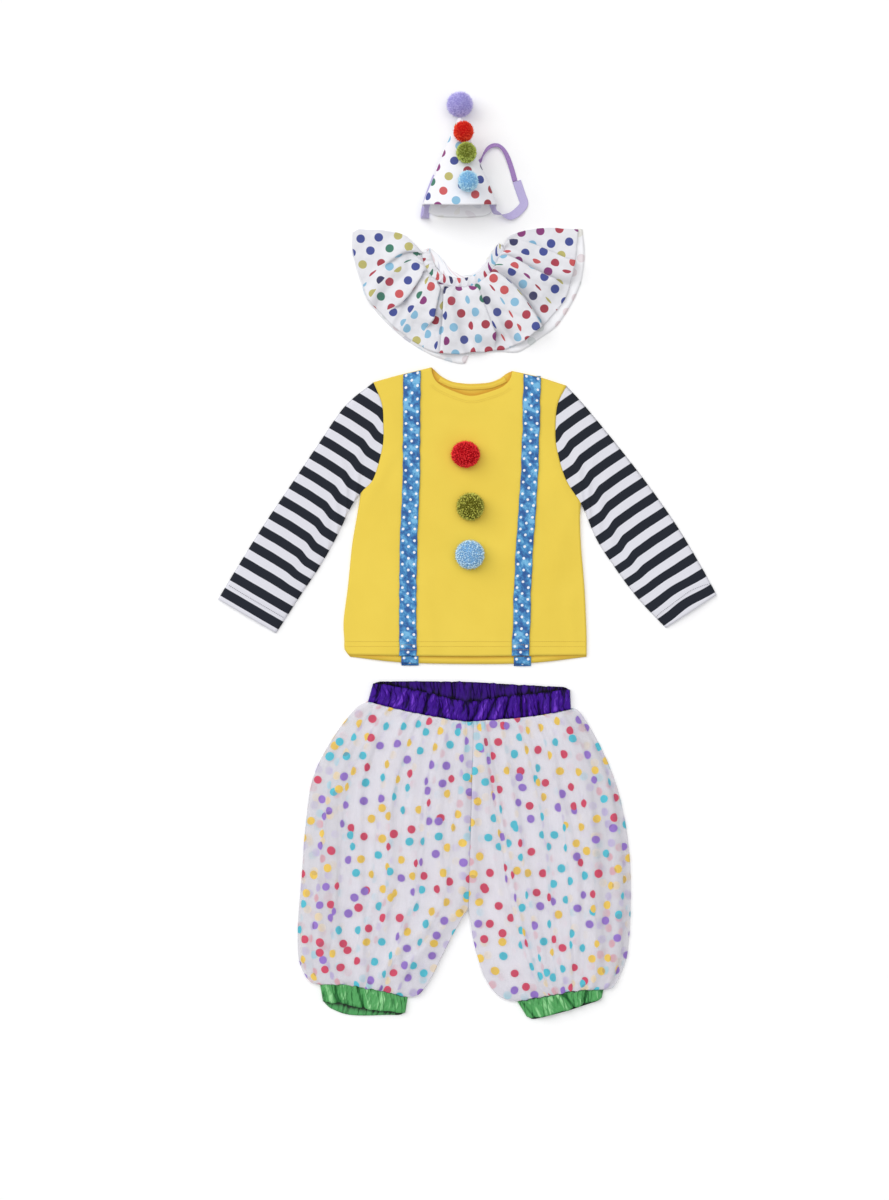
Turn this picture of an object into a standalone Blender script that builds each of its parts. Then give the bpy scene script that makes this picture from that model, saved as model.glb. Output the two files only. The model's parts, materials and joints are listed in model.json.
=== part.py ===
"""Clown costume set for a child, laid out flat: a cone hat with a chin strap, a gathered ruff,
a long-sleeved shirt with ribbon braces and pompoms, and balloon trousers of a spotted overlay
on a plain lining, gathered into a waistband and two cuffs.

Every piece that is cut and sewn is a solid of its own. The set lies on its back on the plane
z = 0, with its height along +Y, +X to the viewer's right and +Z up, away from the surface.
All sizes below are millimetres; MM turns them into metres where a mesh is made.
"""

import math

import bmesh
import bpy
import numpy as np

MM = 0.001

# Driving dimensions, common to the four garments
SEAM = 0.3             # gap between two pieces that are sewn to each other
EASE = 0.5             # the same gap where a curved seam is cut into straight steps
JERSEY = 1.2           # shirt body and sleeves
OVERLAY = 1.0          # trousers' spotted overlay
LINING = 1.0           # trousers' lining
FRILL = 1.0            # ruff cloth
FELT = 1.5             # hat
BAND = 2.4             # waistband: two layers of satin on elastic
CUFF = 2.0             # cuff: two layers of satin on elastic
RIBBON = 1.0           # woven ribbon of the braces and of the chin strap
BRACE_WIDTH = 24.0
FOLD_TURN = 2.4        # how far inside a folded edge the cloth is flat again
ROOM = 3.2             # most height left between two panels that lie on each other


# ---------------------------------------------------------------- curves and surfaces
def even(steps):
    return np.linspace(0.0, 1.0, steps + 1)


def run(points, places):
    """Points at the given places, 0 to 1 by length, on a smooth curve through the points."""
    points = np.array(points, float)
    before = 2 * points[:1] - points[1:2]
    after = 2 * points[-1:] - points[-2:-1]
    line = np.vstack([before, points, after])
    t = np.linspace(0.0, 1.0, 24, endpoint=False)[:, None]
    spans = []
    for a, b, c, d in zip(line, line[1:], line[2:], line[3:]):
        bend = (2 * a - 5 * b + 4 * c - d) * t**2 + (3 * b - a - 3 * c + d) * t**3
        spans.append(0.5 * (2 * b + (c - a) * t + bend))
    dense = np.vstack(spans + [points[-1:]])
    steps = np.linalg.norm(np.diff(dense, axis=0), axis=1)
    length = np.concatenate([[0.0], np.cumsum(steps)])
    wanted = np.asarray(places) * length[-1]
    return np.column_stack([np.interp(wanted, length, axis) for axis in dense.T])


def joined(*runs):
    """One edge from several that meet end to end, with a corner at each meeting."""
    return np.vstack([runs[0]] + [later[1:] for later in runs[1:]])


def patch(first, last, left, right):
    """Grid of points that fills four edges. Rows go from first to last, columns left to right."""
    u = even(len(first) - 1)[None, :, None]
    v = even(len(left) - 1)[:, None, None]
    rows = (1 - v) * first[None] + v * last[None]
    columns = (1 - u) * left[:, None] + u * right[:, None]
    corners = (1 - v) * ((1 - u) * first[0] + u * first[-1])
    corners = corners + v * ((1 - u) * last[0] + u * last[-1])
    return rows + columns - corners


def raised(flat, height):
    """The grid's x and y with a new height, a number or an array."""
    return np.dstack([flat[..., 0], flat[..., 1], np.broadcast_to(height, flat.shape[:2])])


def fold_room(places, room):
    """Inside height across a flattened ring with its fold columns: none at the folds."""
    inside = SEAM + room * np.sin(math.pi * places[1:-1]) ** 0.5
    edge = [SEAM, SEAM]
    return np.concatenate([edge, inside, edge])[None, :]


def smooth(value):
    value = np.clip(value, 0.0, 1.0)
    return value * value * (3 - 2 * value)


def ridge(distance, width):
    """A soft fold's height, 1 on its crest, dying away on both sides."""
    return np.exp(-((distance / width) ** 2))


def unit(vectors):
    return vectors / np.linalg.norm(vectors, axis=1)[:, None]


def sideways(line, distance):
    """The line moved to its left by a distance, in plan."""
    along = unit(np.gradient(line[:, :2], axis=0))
    moved = line.copy()
    moved[:, 0] -= along[:, 1] * distance
    moved[:, 1] += along[:, 0] * distance
    return moved


# ---------------------------------------------------------------- solids
def material(name, colour, roughness):
    made = bpy.data.materials.new(name)
    made.use_nodes = True
    shader = made.node_tree.nodes["Principled BSDF"]
    shader.inputs["Base Color"].default_value = (*colour, 1.0)
    shader.inputs["Roughness"].default_value = roughness
    shader.inputs["Metallic"].default_value = 0.0
    return made


def add(name, points, faces, finish):
    mesh = bpy.data.meshes.new(name)
    mesh.from_pydata([tuple(p * MM) for p in points], [], faces)
    mesh.materials.append(finish)
    mesh.shade_smooth()
    made = bpy.data.objects.new(name, mesh)
    COSTUME.objects.link(made)
    return made


def grid_faces(rows, columns, closed):
    faces = []
    for row in range(rows - 1):
        for column in range(columns if closed else columns - 1):
            after = (column + 1) % columns
            low = row * columns
            high = low + columns
            faces.append((low + column, high + column, high + after, low + after))
    return faces


def turned(faces):
    return [face[::-1] for face in faces]


def faces_down(grid):
    """Whether quads built row by row on this grid would face the floor."""
    x, y = grid[..., 0], grid[..., 1]
    ahead = (x[:-1, 1:] - x[1:, :-1]) * (y[1:, 1:] - y[:-1, :-1])
    aside = (y[:-1, 1:] - y[1:, :-1]) * (x[1:, 1:] - x[:-1, :-1])
    return np.sum(ahead - aside) > 0


def solidify(made, thickness, side):
    wall = made.modifiers.new("wall", "SOLIDIFY")
    wall.thickness = thickness * MM
    wall.offset = side
    wall.use_even_offset = False
    return made


def sheet(name, grid, thickness, finish):
    """A panel: the grid is its underside, and the cloth's thickness goes up from it."""
    rows, columns = grid.shape[:2]
    faces = grid_faces(rows, columns, False)
    if faces_down(grid):
        faces = turned(faces)
    return solidify(add(name, grid.reshape(-1, 3), faces, finish), thickness, 1)


def fold_columns(flat):
    """The grid with one more column just inside each side, where the cloth starts to turn. Its
    end points stay on the end rows where those meet the side at a sharp corner."""
    added = []
    for edge, inside in ((flat[:, 0], flat[:, 1]), (flat[:, -1], flat[:, -2])):
        along = unit(np.gradient(edge, axis=0))
        across = unit(inside - edge)
        inward = np.column_stack([-along[:, 1], along[:, 0]])
        square = np.sum(inward * across, axis=1)
        inward *= np.sign(np.sum(square))
        for end, ahead in ((0, along[0]), (-1, -along[-1])):
            if across[end] @ ahead > 0:
                inward[end] = across[end] / abs(square[end])
        added.append((edge + FOLD_TURN * inward)[:, None])
    return np.concatenate([flat[:, :1], added[0], flat[:, 1:-1], added[1], flat[:, -1:]], axis=1)


def ring(folds, low, top):
    """Sections of a flattened tube: one fold, the low face, the other fold, the top face."""
    return np.concatenate([folds[:, :1], low[:, 1:-1], folds[:, 1:], top[:, -2:0:-1]], axis=1)


def tube(name, low, top, thickness, finish):
    """A flattened ring of cloth, lofted through its sections. Low and top are its outer faces,
    which meet at half height along both side folds, and the wall goes inwards from them."""
    folds = 0.5 * (low[:, [0, -1]] + top[:, [0, -1]])
    inward = 0.5 * (low[:, [1, -2]] + top[:, [1, -2]]) - folds
    share = thickness / np.linalg.norm(inward, axis=2, keepdims=True)
    wall = np.array([0.0, 0.0, thickness])
    outer = ring(folds, low, top)
    inner = ring(folds + inward * np.minimum(share, 0.6), low + wall, top - wall)
    rows, columns = outer.shape[:2]
    count = rows * columns
    around = grid_faces(rows, columns, True)
    faces = around + [tuple(count + corner for corner in face[::-1]) for face in around]
    for start, step in ((0, 1), (count - columns, -1)):
        for column in range(columns):
            one, other = [start + place % columns for place in (column, column + 1)][::step]
            faces.append((one, other, count + other, count + one))
    if not faces_down(low):
        faces = turned(faces)
    points = np.concatenate([outer.reshape(-1, 3), inner.reshape(-1, 3)])
    return add(name, points, faces, finish)


def ribbon(name, route, width, thickness, finish):
    """A flat strip. Each row of the route is x, y, z, the way its width points in plan, in
    degrees, and how far its width leans out of the flat."""
    route = np.array(route, float)
    centre = route[:, :3]
    aim = np.radians(route[:, 3])
    lean = np.radians(route[:, 4])
    span = np.column_stack([np.cos(aim) * np.cos(lean), np.sin(aim) * np.cos(lean), np.sin(lean)])
    normal = unit(np.cross(span, np.gradient(centre, axis=0)))
    corners = []
    for side, face in ((-1, -1), (1, -1), (1, 1), (-1, 1)):
        corners.append(centre + side * width / 2 * span + face * thickness / 2 * normal)
    loops = np.stack(corners, axis=1)
    rows = len(route)
    faces = grid_faces(rows, 4, True)
    last = 4 * (rows - 1)
    faces += [(0, 1, 2, 3), (last + 3, last + 2, last + 1, last)]
    return add(name, loops.reshape(-1, 3), faces, finish)


def pompom(name, centre, size, seat, slope, finish):
    """A trimmed yarn ball, cut flat at its seat, which is given as a share of its half height."""
    body = bmesh.new()
    bmesh.ops.create_icosphere(body, subdivisions=2, radius=0.5 * MM)
    mesh = bpy.data.meshes.new(name)
    for vert in body.verts:
        vert.co.z = max(vert.co.z, -0.5 * MM * seat)
        vert.co = (vert.co.x * size[0], vert.co.y * size[1], vert.co.z * size[2])
    body.to_mesh(mesh)
    body.free()
    mesh.materials.append(finish)
    mesh.shade_smooth()
    made = bpy.data.objects.new(name, mesh)
    made.location = [value * MM for value in centre]
    made.rotation_euler = (math.radians(slope), 0.0, 0.0)
    COSTUME.objects.link(made)
    return made


# ---------------------------------------------------------------- hat
HAT_X = -12.0            # the cone's axis
HAT_RIM_Y = 485.0        # rim at its crest; its floor side reaches further down
HAT_RIM_REACH = 11.0
HAT_TIP_Y = 610.0
HAT_HALF_WIDTH = 51.5    # at the rim and at the blunt tip
HAT_TIP_HALF_WIDTH = 4.0
HAT_HEIGHT = 52.0
HAT_TIP_HEIGHT = 8.5
HAT_TIP_LIFT = 14.0      # the tip is held off the floor by its pompom
HAT_FLAT = 0.85          # share of the half height below which the section is flat
TIP_POMPOM = 36.5
POMPOM = 27.8
CHIN_RIBBON_WIDTH = 12.0
SEWN_INSIDE = 1.3        # a flat ribbon's middle stands off the round wall
ELASTIC_WIDTH = 7.0


def hat_point(along, turn):
    """A point of the cone: along goes 0 to 1 from rim to tip, turn is the angle round it."""
    half = HAT_HALF_WIDTH + (HAT_TIP_HALF_WIDTH - HAT_HALF_WIDTH) * along
    height = HAT_HEIGHT + (HAT_TIP_HEIGHT - HAT_HEIGHT) * along
    rise = max(math.sin(turn) + HAT_FLAT, 0.0) / (1 + HAT_FLAT)
    reach = HAT_RIM_REACH * (1 - math.sin(turn)) / 2 * (1 - along) ** 2
    y = HAT_RIM_Y + (HAT_TIP_Y - HAT_RIM_Y) * along - reach
    return HAT_X + half * math.cos(turn), y, HAT_TIP_LIFT * along + height * rise


def inside_hat(turn):
    """Route rows of a strip sewn on the inside of the rim, going in, at a turn in degrees."""
    rows = []
    for along in (0.0, 0.08, 0.16):
        low, high = (np.array(hat_point(along, math.radians(turn + side))) for side in (-9, 9))
        x, _, z = high - low
        inward = np.array([-z, 0.0, x]) / math.hypot(x, z)
        inward *= np.sign(HAT_X - low[0]) * np.sign(inward[0])
        centre = (low + high) / 2 + inward * (FELT + RIBBON / 2 + SEWN_INSIDE)
        lean = math.degrees(math.atan2(abs(z), abs(x)))
        rows.append((*centre, 0, -lean) if turn < 270 else (*centre, -180, 180 - lean))
    return rows


def make_hat():
    white = material("hat_felt", (0.66, 0.67, 0.75), 0.9)
    lilac = material("lilac_yarn", (0.30, 0.28, 0.55), 0.95)
    rings = [0.0, 0.14, 0.32, 0.55, 0.78, 1.0]
    turns = np.linspace(0, 2 * math.pi, 20, endpoint=False) + math.pi / 20
    cone = np.array([[hat_point(along, turn) for turn in turns] for along in rings])
    faces = grid_faces(len(rings), len(turns), True)
    solidify(add("hat_cone", cone.reshape(-1, 3), faces, white), FELT, -1)

    size = (TIP_POMPOM, TIP_POMPOM, TIP_POMPOM)
    pompom("hat_pompom_lilac", (-12.0, 627.9, TIP_POMPOM / 2 * 0.94), size, 0.94, 0, lilac)
    crest = math.degrees(math.atan2(
        HAT_TIP_LIFT + HAT_TIP_HEIGHT - HAT_HEIGHT, HAT_TIP_Y - HAT_RIM_Y))
    front = (
        # name, x, y on the crest, colour
        ("hat_pompom_red", -7.0, 586.0, (0.72, 0.05, 0.04)),
        ("hat_pompom_green", -4.5, 554.5, (0.20, 0.25, 0.04)),
        ("hat_pompom_blue", -2.5, 512.5, (0.20, 0.44, 0.68)),
    )
    for name, x, y, colour in front:
        along = (y - HAT_RIM_Y) / (HAT_TIP_Y - HAT_RIM_Y)
        seat = 0.8
        lift = POMPOM / 2 * seat + SEAM + 0.1
        top = hat_point(along, math.pi / 2)[2] + lift / math.cos(math.radians(crest))
        yarn = material(name + "_yarn", colour, 0.95)
        pompom(name, (x, y, top), (POMPOM, POMPOM, POMPOM), seat, crest, yarn)

    lilac_ribbon = material("chin_ribbon", (0.51, 0.46, 0.75), 0.5)
    purple = material("chin_elastic", (0.30, 0.16, 0.45), 0.7)
    left = inside_hat(198)[::-1] + [
        # x, y, z, way of the width, lean: over the rim, down to the floor and back up beside it
        (-58.4, 474.4, 14.6, 0, -48),
        (-58.7, 472.7, 11.3, 0, -32),
        (-58.9, 472.1, 7.5, 0, -16),
        (-59.2, 472.1, 4.0, 0, -6),
        (-59.3, 472.5, 1.9, 0, 0),
        (-59.4, 474.2, 0.7, 0, 0),
        (-59.6, 479.0, 0.5, 0, 0),
        (-59.8, 492.0, 0.5, -8, 0),
        (-55.5, 512.0, 0.5, -14, 0),
        (-48.8, 531.8, 0.5, -18, 0),
    ]
    ribbon("hat_ribbon_left", left, CHIN_RIBBON_WIDTH, RIBBON, lilac_ribbon)
    elastic = (
        (-48.7, 532.1, 0.5, -18, 0),
        (-43.5, 542.5, 0.5, -38, 0),
        (-32.0, 550.0, 0.5, -68, 0),
        (-15.0, 552.5, 0.5, -86, 0),
        (2.0, 551.0, 0.5, -88, 0),
        (11.0, 550.3, 1.3, -70, 12),
        (16.8, 552.4, 3.2, -45, 45),
        (20.0, 557.8, 4.1, -30, 76),
        (23.5, 564.5, 4.0, -33, 62),
        (28.5, 570.6, 3.2, -48, 45),
        (35.5, 574.4, 3.0, -76, 38),
        (43.5, 573.8, 3.2, -110, 44),
        (50.8, 566.8, 2.8, -140, 36),
        (56.8, 554.5, 1.7, -152, 18),
        (61.6, 540.0, 0.8, -160, 4),
        (65.9, 524.3, 0.5, -162, 0),
    )
    ribbon("hat_elastic", elastic, ELASTIC_WIDTH, RIBBON, purple)
    right = [
        (68.3, 524.5, 0.5, 18, 0),
        (72.0, 513.5, 0.5, 20, 0),
        (76.3, 502.0, 0.5, 22, 0),
        (78.7, 493.5, 0.6, 8, 0),
        (77.8, 486.5, 0.9, -22, 3),
        (73.5, 480.5, 1.3, -48, 6),
        (66.0, 476.2, 2.4, -70, 14),
        (57.0, 474.3, 4.4, -84, 34),
        (48.5, 474.8, 6.8, -90, 75),
        (43.0, 474.4, 9.4, -96, 95),
        (38.2, 474.4, 13.0, -120, 108),
        (34.2, 475.0, 15.9, -155, 117),
    ] + inside_hat(342)
    ribbon("hat_ribbon_right", right, CHIN_RIBBON_WIDTH, RIBBON, lilac_ribbon)


# ---------------------------------------------------------------- ruff
NECKBAND_WIDTH = 13.0
NECKBAND = 1.4
NECKBAND_ROOM = 1.4
PLEAT_HEIGHT = 9.0
RUFF_PLEATS = (
    # place round the half ruff, width there, height
    (0.055, 0.030, 0.35),
    (0.135, 0.026, 0.75),
    (0.225, 0.030, 0.60),
    (0.315, 0.024, 0.95),
    (0.400, 0.028, 0.70),
    (0.480, 0.026, 1.00),
    (0.560, 0.028, 0.90),
    (0.645, 0.030, 1.00),
    (0.735, 0.026, 0.80),
    (0.825, 0.028, 0.75),
    (0.905, 0.024, 0.55),
)
NECK_FRONT = ((-53.8, 430.5), (-48.4, 411.3), (-40.5, 398.4), (-25.9, 391.0), (-7, 388.4),
              (9.8, 393.6), (22.4, 405.3), (32.2, 422.3), (43.0, 437.5))
NECK_BACK = ((-53.2, 431.2), (-42, 421.6), (-33.5, 411.6), (-24, 400.6), (-8, 393.2),
             (8.4, 397.2), (21.4, 408.8), (31.6, 424.5), (43.4, 438.2))
RUFF_FRONT_RIM = ((-161, 452), (-160.5, 423.5), (-149.1, 384.3), (-135.1, 353.5), (-98, 315.3),
                  (-63, 291.5), (-30.8, 282.0), (2.8, 283.1), (44.8, 288.2), (74.0, 297.5),
                  (105.7, 322.4), (135.7, 359.8), (148.1, 401.4), (152.7, 434.0), (154.5, 456.0))
RUFF_BACK_RIM = ((-162, 454), (-161.5, 423.5), (-150.1, 382.3), (-136.5, 351.5), (-99.5, 312.3),
                 (-64, 287.5), (-36.8, 275.4), (-6.3, 268.6), (4.2, 282.0), (43.4, 285.3),
                 (71.4, 285.4), (99.4, 303.1), (127.4, 325.5), (155.4, 374.5), (163.2, 418.5),
                 (160.2, 457.5))
WING_LEFT = ((-88.1, 447.8), (-120, 455.4), (-149.1, 456.2))
WING_RIGHT = ((57.4, 445.9), (81.2, 455.1), (112.6, 458.9))


def pleats(places, depth):
    """Height of the ruff's pleats at a place round it and a depth from neck to rim."""
    total = np.zeros(np.broadcast(places, depth).shape)
    for place, width, height in RUFF_PLEATS:
        total += height * ridge(places - place, width)
    return PLEAT_HEIGHT * total * (0.30 + 0.70 * smooth(depth * 1.4))


def make_ruff():
    cotton = material("ruff_cotton", (0.74, 0.75, 0.83), 0.85)
    folds = even(14)
    front_neck = run(NECK_FRONT, folds)
    back_neck = run(NECK_BACK, folds)
    # The two halves share their end points, where the neckband turns over
    for end in (0, -1):
        middle = (front_neck[end] + back_neck[end]) / 2
        front_neck[end] = middle
        back_neck[end] = middle
    front_seam = sideways(front_neck, -NECKBAND_WIDTH)
    back_seam = sideways(back_neck, -NECKBAND_WIDTH)
    low = fold_columns(np.stack([back_neck, back_seam]))
    top = fold_columns(np.stack([front_neck, front_seam]))
    low = raised(low, 0.0)
    top = raised(top, 2 * NECKBAND + fold_room(folds, NECKBAND_ROOM))
    tube("ruff_neckband", low, top, NECKBAND, cotton)

    columns = 48
    for name, neck, rim, step in (
        ("ruff_frill_back", NECK_BACK, RUFF_BACK_RIM, 22),
        ("ruff_frill_front", NECK_FRONT, RUFF_FRONT_RIM, columns),
    ):
        inner = sideways(run(neck, even(step)), -NECKBAND_WIDTH - SEAM - EASE)
        outer = run(rim, even(step))
        rows = 2 if name.endswith("back") else 4
        left = run((inner[0],) + WING_LEFT + (outer[0],), even(rows))
        right = run((inner[-1],) + WING_RIGHT + (outer[-1],), even(rows))
        flat = patch(inner, outer, left, right)
        if name.endswith("back"):
            grid = raised(flat, 0.0)
        else:
            height = FRILL + SEAM + pleats(even(step)[None, :], even(rows)[:, None])
            grid = raised(flat, height)
        sheet(name, grid, FRILL, cotton)


# ---------------------------------------------------------------- shirt
SHIRT_COLUMNS = (2, 8, 2)           # shoulder, neck, shoulder
ARMHOLE_ROWS = 5
SHOULDER_LEFT = (-132.4, 242.5)
SHOULDER_RIGHT = (137.8, 237.7)
NECK_LEFT = (-51.1, 263.4)
NECK_RIGHT = (61.9, 258.3)
UNDERARM_LEFT = (-149.8, 88.9)
UNDERARM_RIGHT = (158.2, 73.5)
ARMHOLE_LEFT = ((-120.5, 212.0), (-118.4, 182.7), (-119.7, 151.9), (-132.2, 107.7))
ARMHOLE_RIGHT = ((125.5, 212.0), (122.5, 182.3), (123.9, 151.9), (136.4, 107.7))
SIDE_LEFT = ((-155.4, 55.3), (-162.4, 13.3), (-168, -42.7), (-174, -90), (-173.2, -118.3))
SIDE_RIGHT = ((156.8, 50.3), (158.2, 13.3), (162.8, -42.7), (165.2, -90), (166, -115))
FRONT_HEM = ((-166.0, -139.0), (-95, -140.2), (0, -141.2), (95, -140.2), (166.0, -139.5))
BACK_HEM = ((-165.0, -141.8), (-92, -149.6), (0, -151.8), (88, -150.4), (166.0, -141.8))
FRONT_NECK = ((-49.6, 253.8), (-43.1, 242.6), (-28.1, 233.5), (-5.6, 225.0), (6.2, 223.4),
              (17.9, 225.4), (43.7, 234.0), (54.6, 241.4), (59.6, 248.5))
BACK_NECK = ((-36.7, 250.6), (-22.8, 243.7), (-9.9, 241.4), (4.1, 240.4), (28.7, 242.1),
             (43.7, 247.4), (54.3, 254.9))
BRACE_LIFT = RIBBON + SEAM          # the back lies on the braces' back ends
CROWN = 2.8
SHIRT_FOLDS = (
    # x and y of one end, x and y of the other, width, height
    (-118, 100, -40, 40, 20, 1.2),
    (120, 90, 60, 20, 20, 1.1),
    (-150, -20, -110, -110, 16, 0.9),
    (60, -10, 90, -110, 18, 0.9),
)
BRACES = (
    # name, then x at the shoulder, chest, waist and hem
    ("left", (-78.6, -79.4, -83.4, -84.4)),
    ("right", (89.6, 86.2, 78.4, 73.2)),
)
BRACE_Y = (252.6, 120.0, 0.0, -140.4)
SHIRT_POMPOMS = (
    # name, x, y, width, depth, colour
    ("red", -3.5, 141.0, 40.0, 37.0, (0.50, 0.03, 0.04)),
    ("green", 3.2, 68.0, 38.5, 38.0, (0.20, 0.20, 0.05)),
    ("blue", 2.4, 1.0, 40.5, 40.5, (0.25, 0.45, 0.62)),
)
SHIRT_POMPOM_HEIGHT = 28.0


def fold_at(x, y, fold):
    """Height at a point of one straight soft fold, which dies away past its ends."""
    x0, y0, x1, y1, width, height = fold
    length = math.hypot(x1 - x0, y1 - y0)
    ux, uy = (x1 - x0) / length, (y1 - y0) / length
    along = (x - x0) * ux + (y - y0) * uy
    aside = (x - x0) * uy - (y - y0) * ux
    beyond = np.maximum(0, np.maximum(-along, along - length))
    return height * ridge(aside, width) * ridge(beyond, 2 * width)


def back_height(x):
    """Underside of the shirt's back: on the floor at its sides, on the braces between."""
    return BRACE_LIFT * smooth((168 - np.abs(x)) / 50)


def front_height(x, y):
    """Underside of the shirt's front, which lies on the back with a little room."""
    dome = smooth((172 - np.abs(x - 4)) / 120) * smooth((262 - y) / 70) * smooth((y + 190) / 90)
    height = back_height(x) + JERSEY + SEAM + CROWN * dome
    for fold in SHIRT_FOLDS:
        height = height + fold_at(x, y, fold)
    return height


def shirt_panel(neck, hem, rows):
    shoulder, collar, _ = SHIRT_COLUMNS
    top = joined(
        run((SHOULDER_LEFT, (-100.0, 251.6), NECK_LEFT), even(shoulder)),
        run((NECK_LEFT,) + neck + (NECK_RIGHT,), even(collar)),
        run((NECK_RIGHT, (99.0, 250.0), SHOULDER_RIGHT), even(shoulder)),
    )
    left = joined(
        run((SHOULDER_LEFT,) + ARMHOLE_LEFT + (UNDERARM_LEFT,), even(ARMHOLE_ROWS)),
        run((UNDERARM_LEFT,) + SIDE_LEFT + (hem[0],), even(rows)),
    )
    right = joined(
        run((SHOULDER_RIGHT,) + ARMHOLE_RIGHT + (UNDERARM_RIGHT,), even(ARMHOLE_ROWS)),
        run((UNDERARM_RIGHT,) + SIDE_RIGHT + (hem[-1],), even(rows)),
    )
    return patch(top, run(hem, even(sum(SHIRT_COLUMNS))), left, right)


def make_shirt():
    yellow = material("shirt_jersey", (0.85, 0.64, 0.085), 0.8)
    striped = material("sleeve_jersey", (0.40, 0.41, 0.44), 0.8)
    blue = material("brace_ribbon", (0.08, 0.33, 0.62), 0.4)
    flat = shirt_panel(BACK_NECK, BACK_HEM, 4)
    sheet("shirt_back", raised(flat, back_height(flat[..., 0])), JERSEY, yellow)
    flat = shirt_panel(FRONT_NECK, FRONT_HEM, 5)
    sheet("shirt_front", raised(flat, front_height(flat[..., 0], flat[..., 1])), JERSEY, yellow)

    # A tape neatens the back neck, on the inside of the back
    edge = run(((-38.0, 251.0),) + BACK_NECK[1:-1] + ((50.0, 251.0),), even(10))
    upper = sideways(edge, -0.6)
    lower = sideways(edge, -8.6)
    tape = patch(upper, lower, run((upper[0], lower[0]), even(1)), run((upper[-1], lower[-1]), even(1)))
    tape = raised(tape, back_height(tape[..., 0]) + JERSEY + SEAM)
    sheet("shirt_neck_tape", tape, 0.8, yellow)

    make_sleeve("left", SHOULDER_LEFT, ARMHOLE_LEFT, UNDERARM_LEFT, striped)
    make_sleeve("right", SHOULDER_RIGHT, ARMHOLE_RIGHT, UNDERARM_RIGHT, striped)
    for name, xs in BRACES:
        make_brace(name, xs, blue)
    for name, x, y, width, depth, colour in SHIRT_POMPOMS:
        yarn = material("shirt_yarn_" + name, colour, 0.95)
        seat = 0.6
        base = front_height(x, y) + JERSEY + SEAM + 0.2
        size = (width, depth, SHIRT_POMPOM_HEIGHT)
        centre = (x, y, base + SHIRT_POMPOM_HEIGHT / 2 * seat)
        pompom("shirt_pompom_" + name, centre, size, seat, 0, yarn)


SLEEVES = {
    # outer edge from shoulder to cuff, inner edge from underarm to cuff
    "left": (
        ((-172.2, 209.3), (-211.4, 153.3), (-249.2, 97.3), (-287, 41.3), (-322, -14.7), (-350, -61.3)),
        ((-163.4, 69.3), (-183.4, 27.3), (-207.2, -14.7), (-235.2, -56.7), (-268.8, -108.8)),
    ),
    "right": (
        ((163.8, 209.3), (210, 153.3), (253.4, 97.3), (292.6, 41.3), (326.2, -14.7), (348.3, -55)),
        ((166.2, 55.3), (177.8, 27.3), (194.6, -0.7), (235.2, -56.7), (277.1, -101.4)),
    ),
}
SLEEVE_ROWS = 7
SLEEVE_ROOM = 2.8
SLEEVE_FAN = 1.7


def make_sleeve(side, shoulder, armhole, underarm, finish):
    """One flattened tube from the armhole seam to the open cuff."""
    sign = -1 if side == "left" else 1
    outer, inner = SLEEVES[side]
    across = even(ARMHOLE_ROWS)
    # The seam opens a little towards the underarm, where it runs on into the sleeve's edge
    head = run((shoulder,) + armhole + (underarm,), across)
    head[:, 0] += sign * (EASE + SEAM + across)
    cuff = run((outer[-1], inner[-1]), across)
    along = even(SLEEVE_ROWS)
    top_edge = run((head[0],) + outer, along)
    # Rows fan out round the underarm, where the seam runs straight on into this edge
    low_edge = run((head[-1],) + inner, along**SLEEVE_FAN)
    flat = fold_columns(patch(head, cuff, top_edge, low_edge))
    height = 2 * JERSEY + fold_room(across, SLEEVE_ROOM) * (0.8 + 0.2 * np.cos(5 * along))[:, None]
    tube("shirt_sleeve_" + side, raised(flat, 0.0), raised(flat, height), JERSEY, finish)


def make_brace(side, xs, finish):
    """A ribbon down the front, and one down the back that is turned in with the hem."""
    steps = 12
    middle = run([(x, y) for x, y in zip(xs, BRACE_Y)], even(steps))
    half = BRACE_WIDTH / 2
    rows = []
    for x, y in middle:
        height = [front_height(x + side_x, y) for side_x in (-half, 0, half)]
        rows.append([(x + side_x, y, z + JERSEY + 2 * SEAM)
                     for side_x, z in zip((-half, 0, half), height)])
    sheet("shirt_brace_front_" + side, np.array(rows), RIBBON, finish)

    hem = BACK_HEM[2][1]
    turn = BRACE_LIFT + JERSEY / 2          # middle of the turn round the hem
    lift = JERSEY + RIBBON / 2 + SEAM
    x = xs[-1] + 2.0
    route = [(xs[0], BRACE_Y[0] - 1.0, RIBBON / 2, 0, 0)]
    route += [(px, py, RIBBON / 2, 0, 0) for px, py in middle[2:-1]]
    route += [
        (x, hem - 0.2, RIBBON / 2, 0, 0),
        (x, hem - 1.4, RIBBON / 2 + 0.6, 0, 0),
        (x, hem - 1.7, turn, 0, 0),
        (x, hem - 1.4, turn + lift - 0.6, 0, 0),
        (x, hem - 0.2, turn + lift, 0, 0),
        (x, hem + 8.5, turn + lift, 0, 0),
    ]
    ribbon("shirt_brace_back_" + side, route, BRACE_WIDTH, RIBBON, finish)


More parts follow.
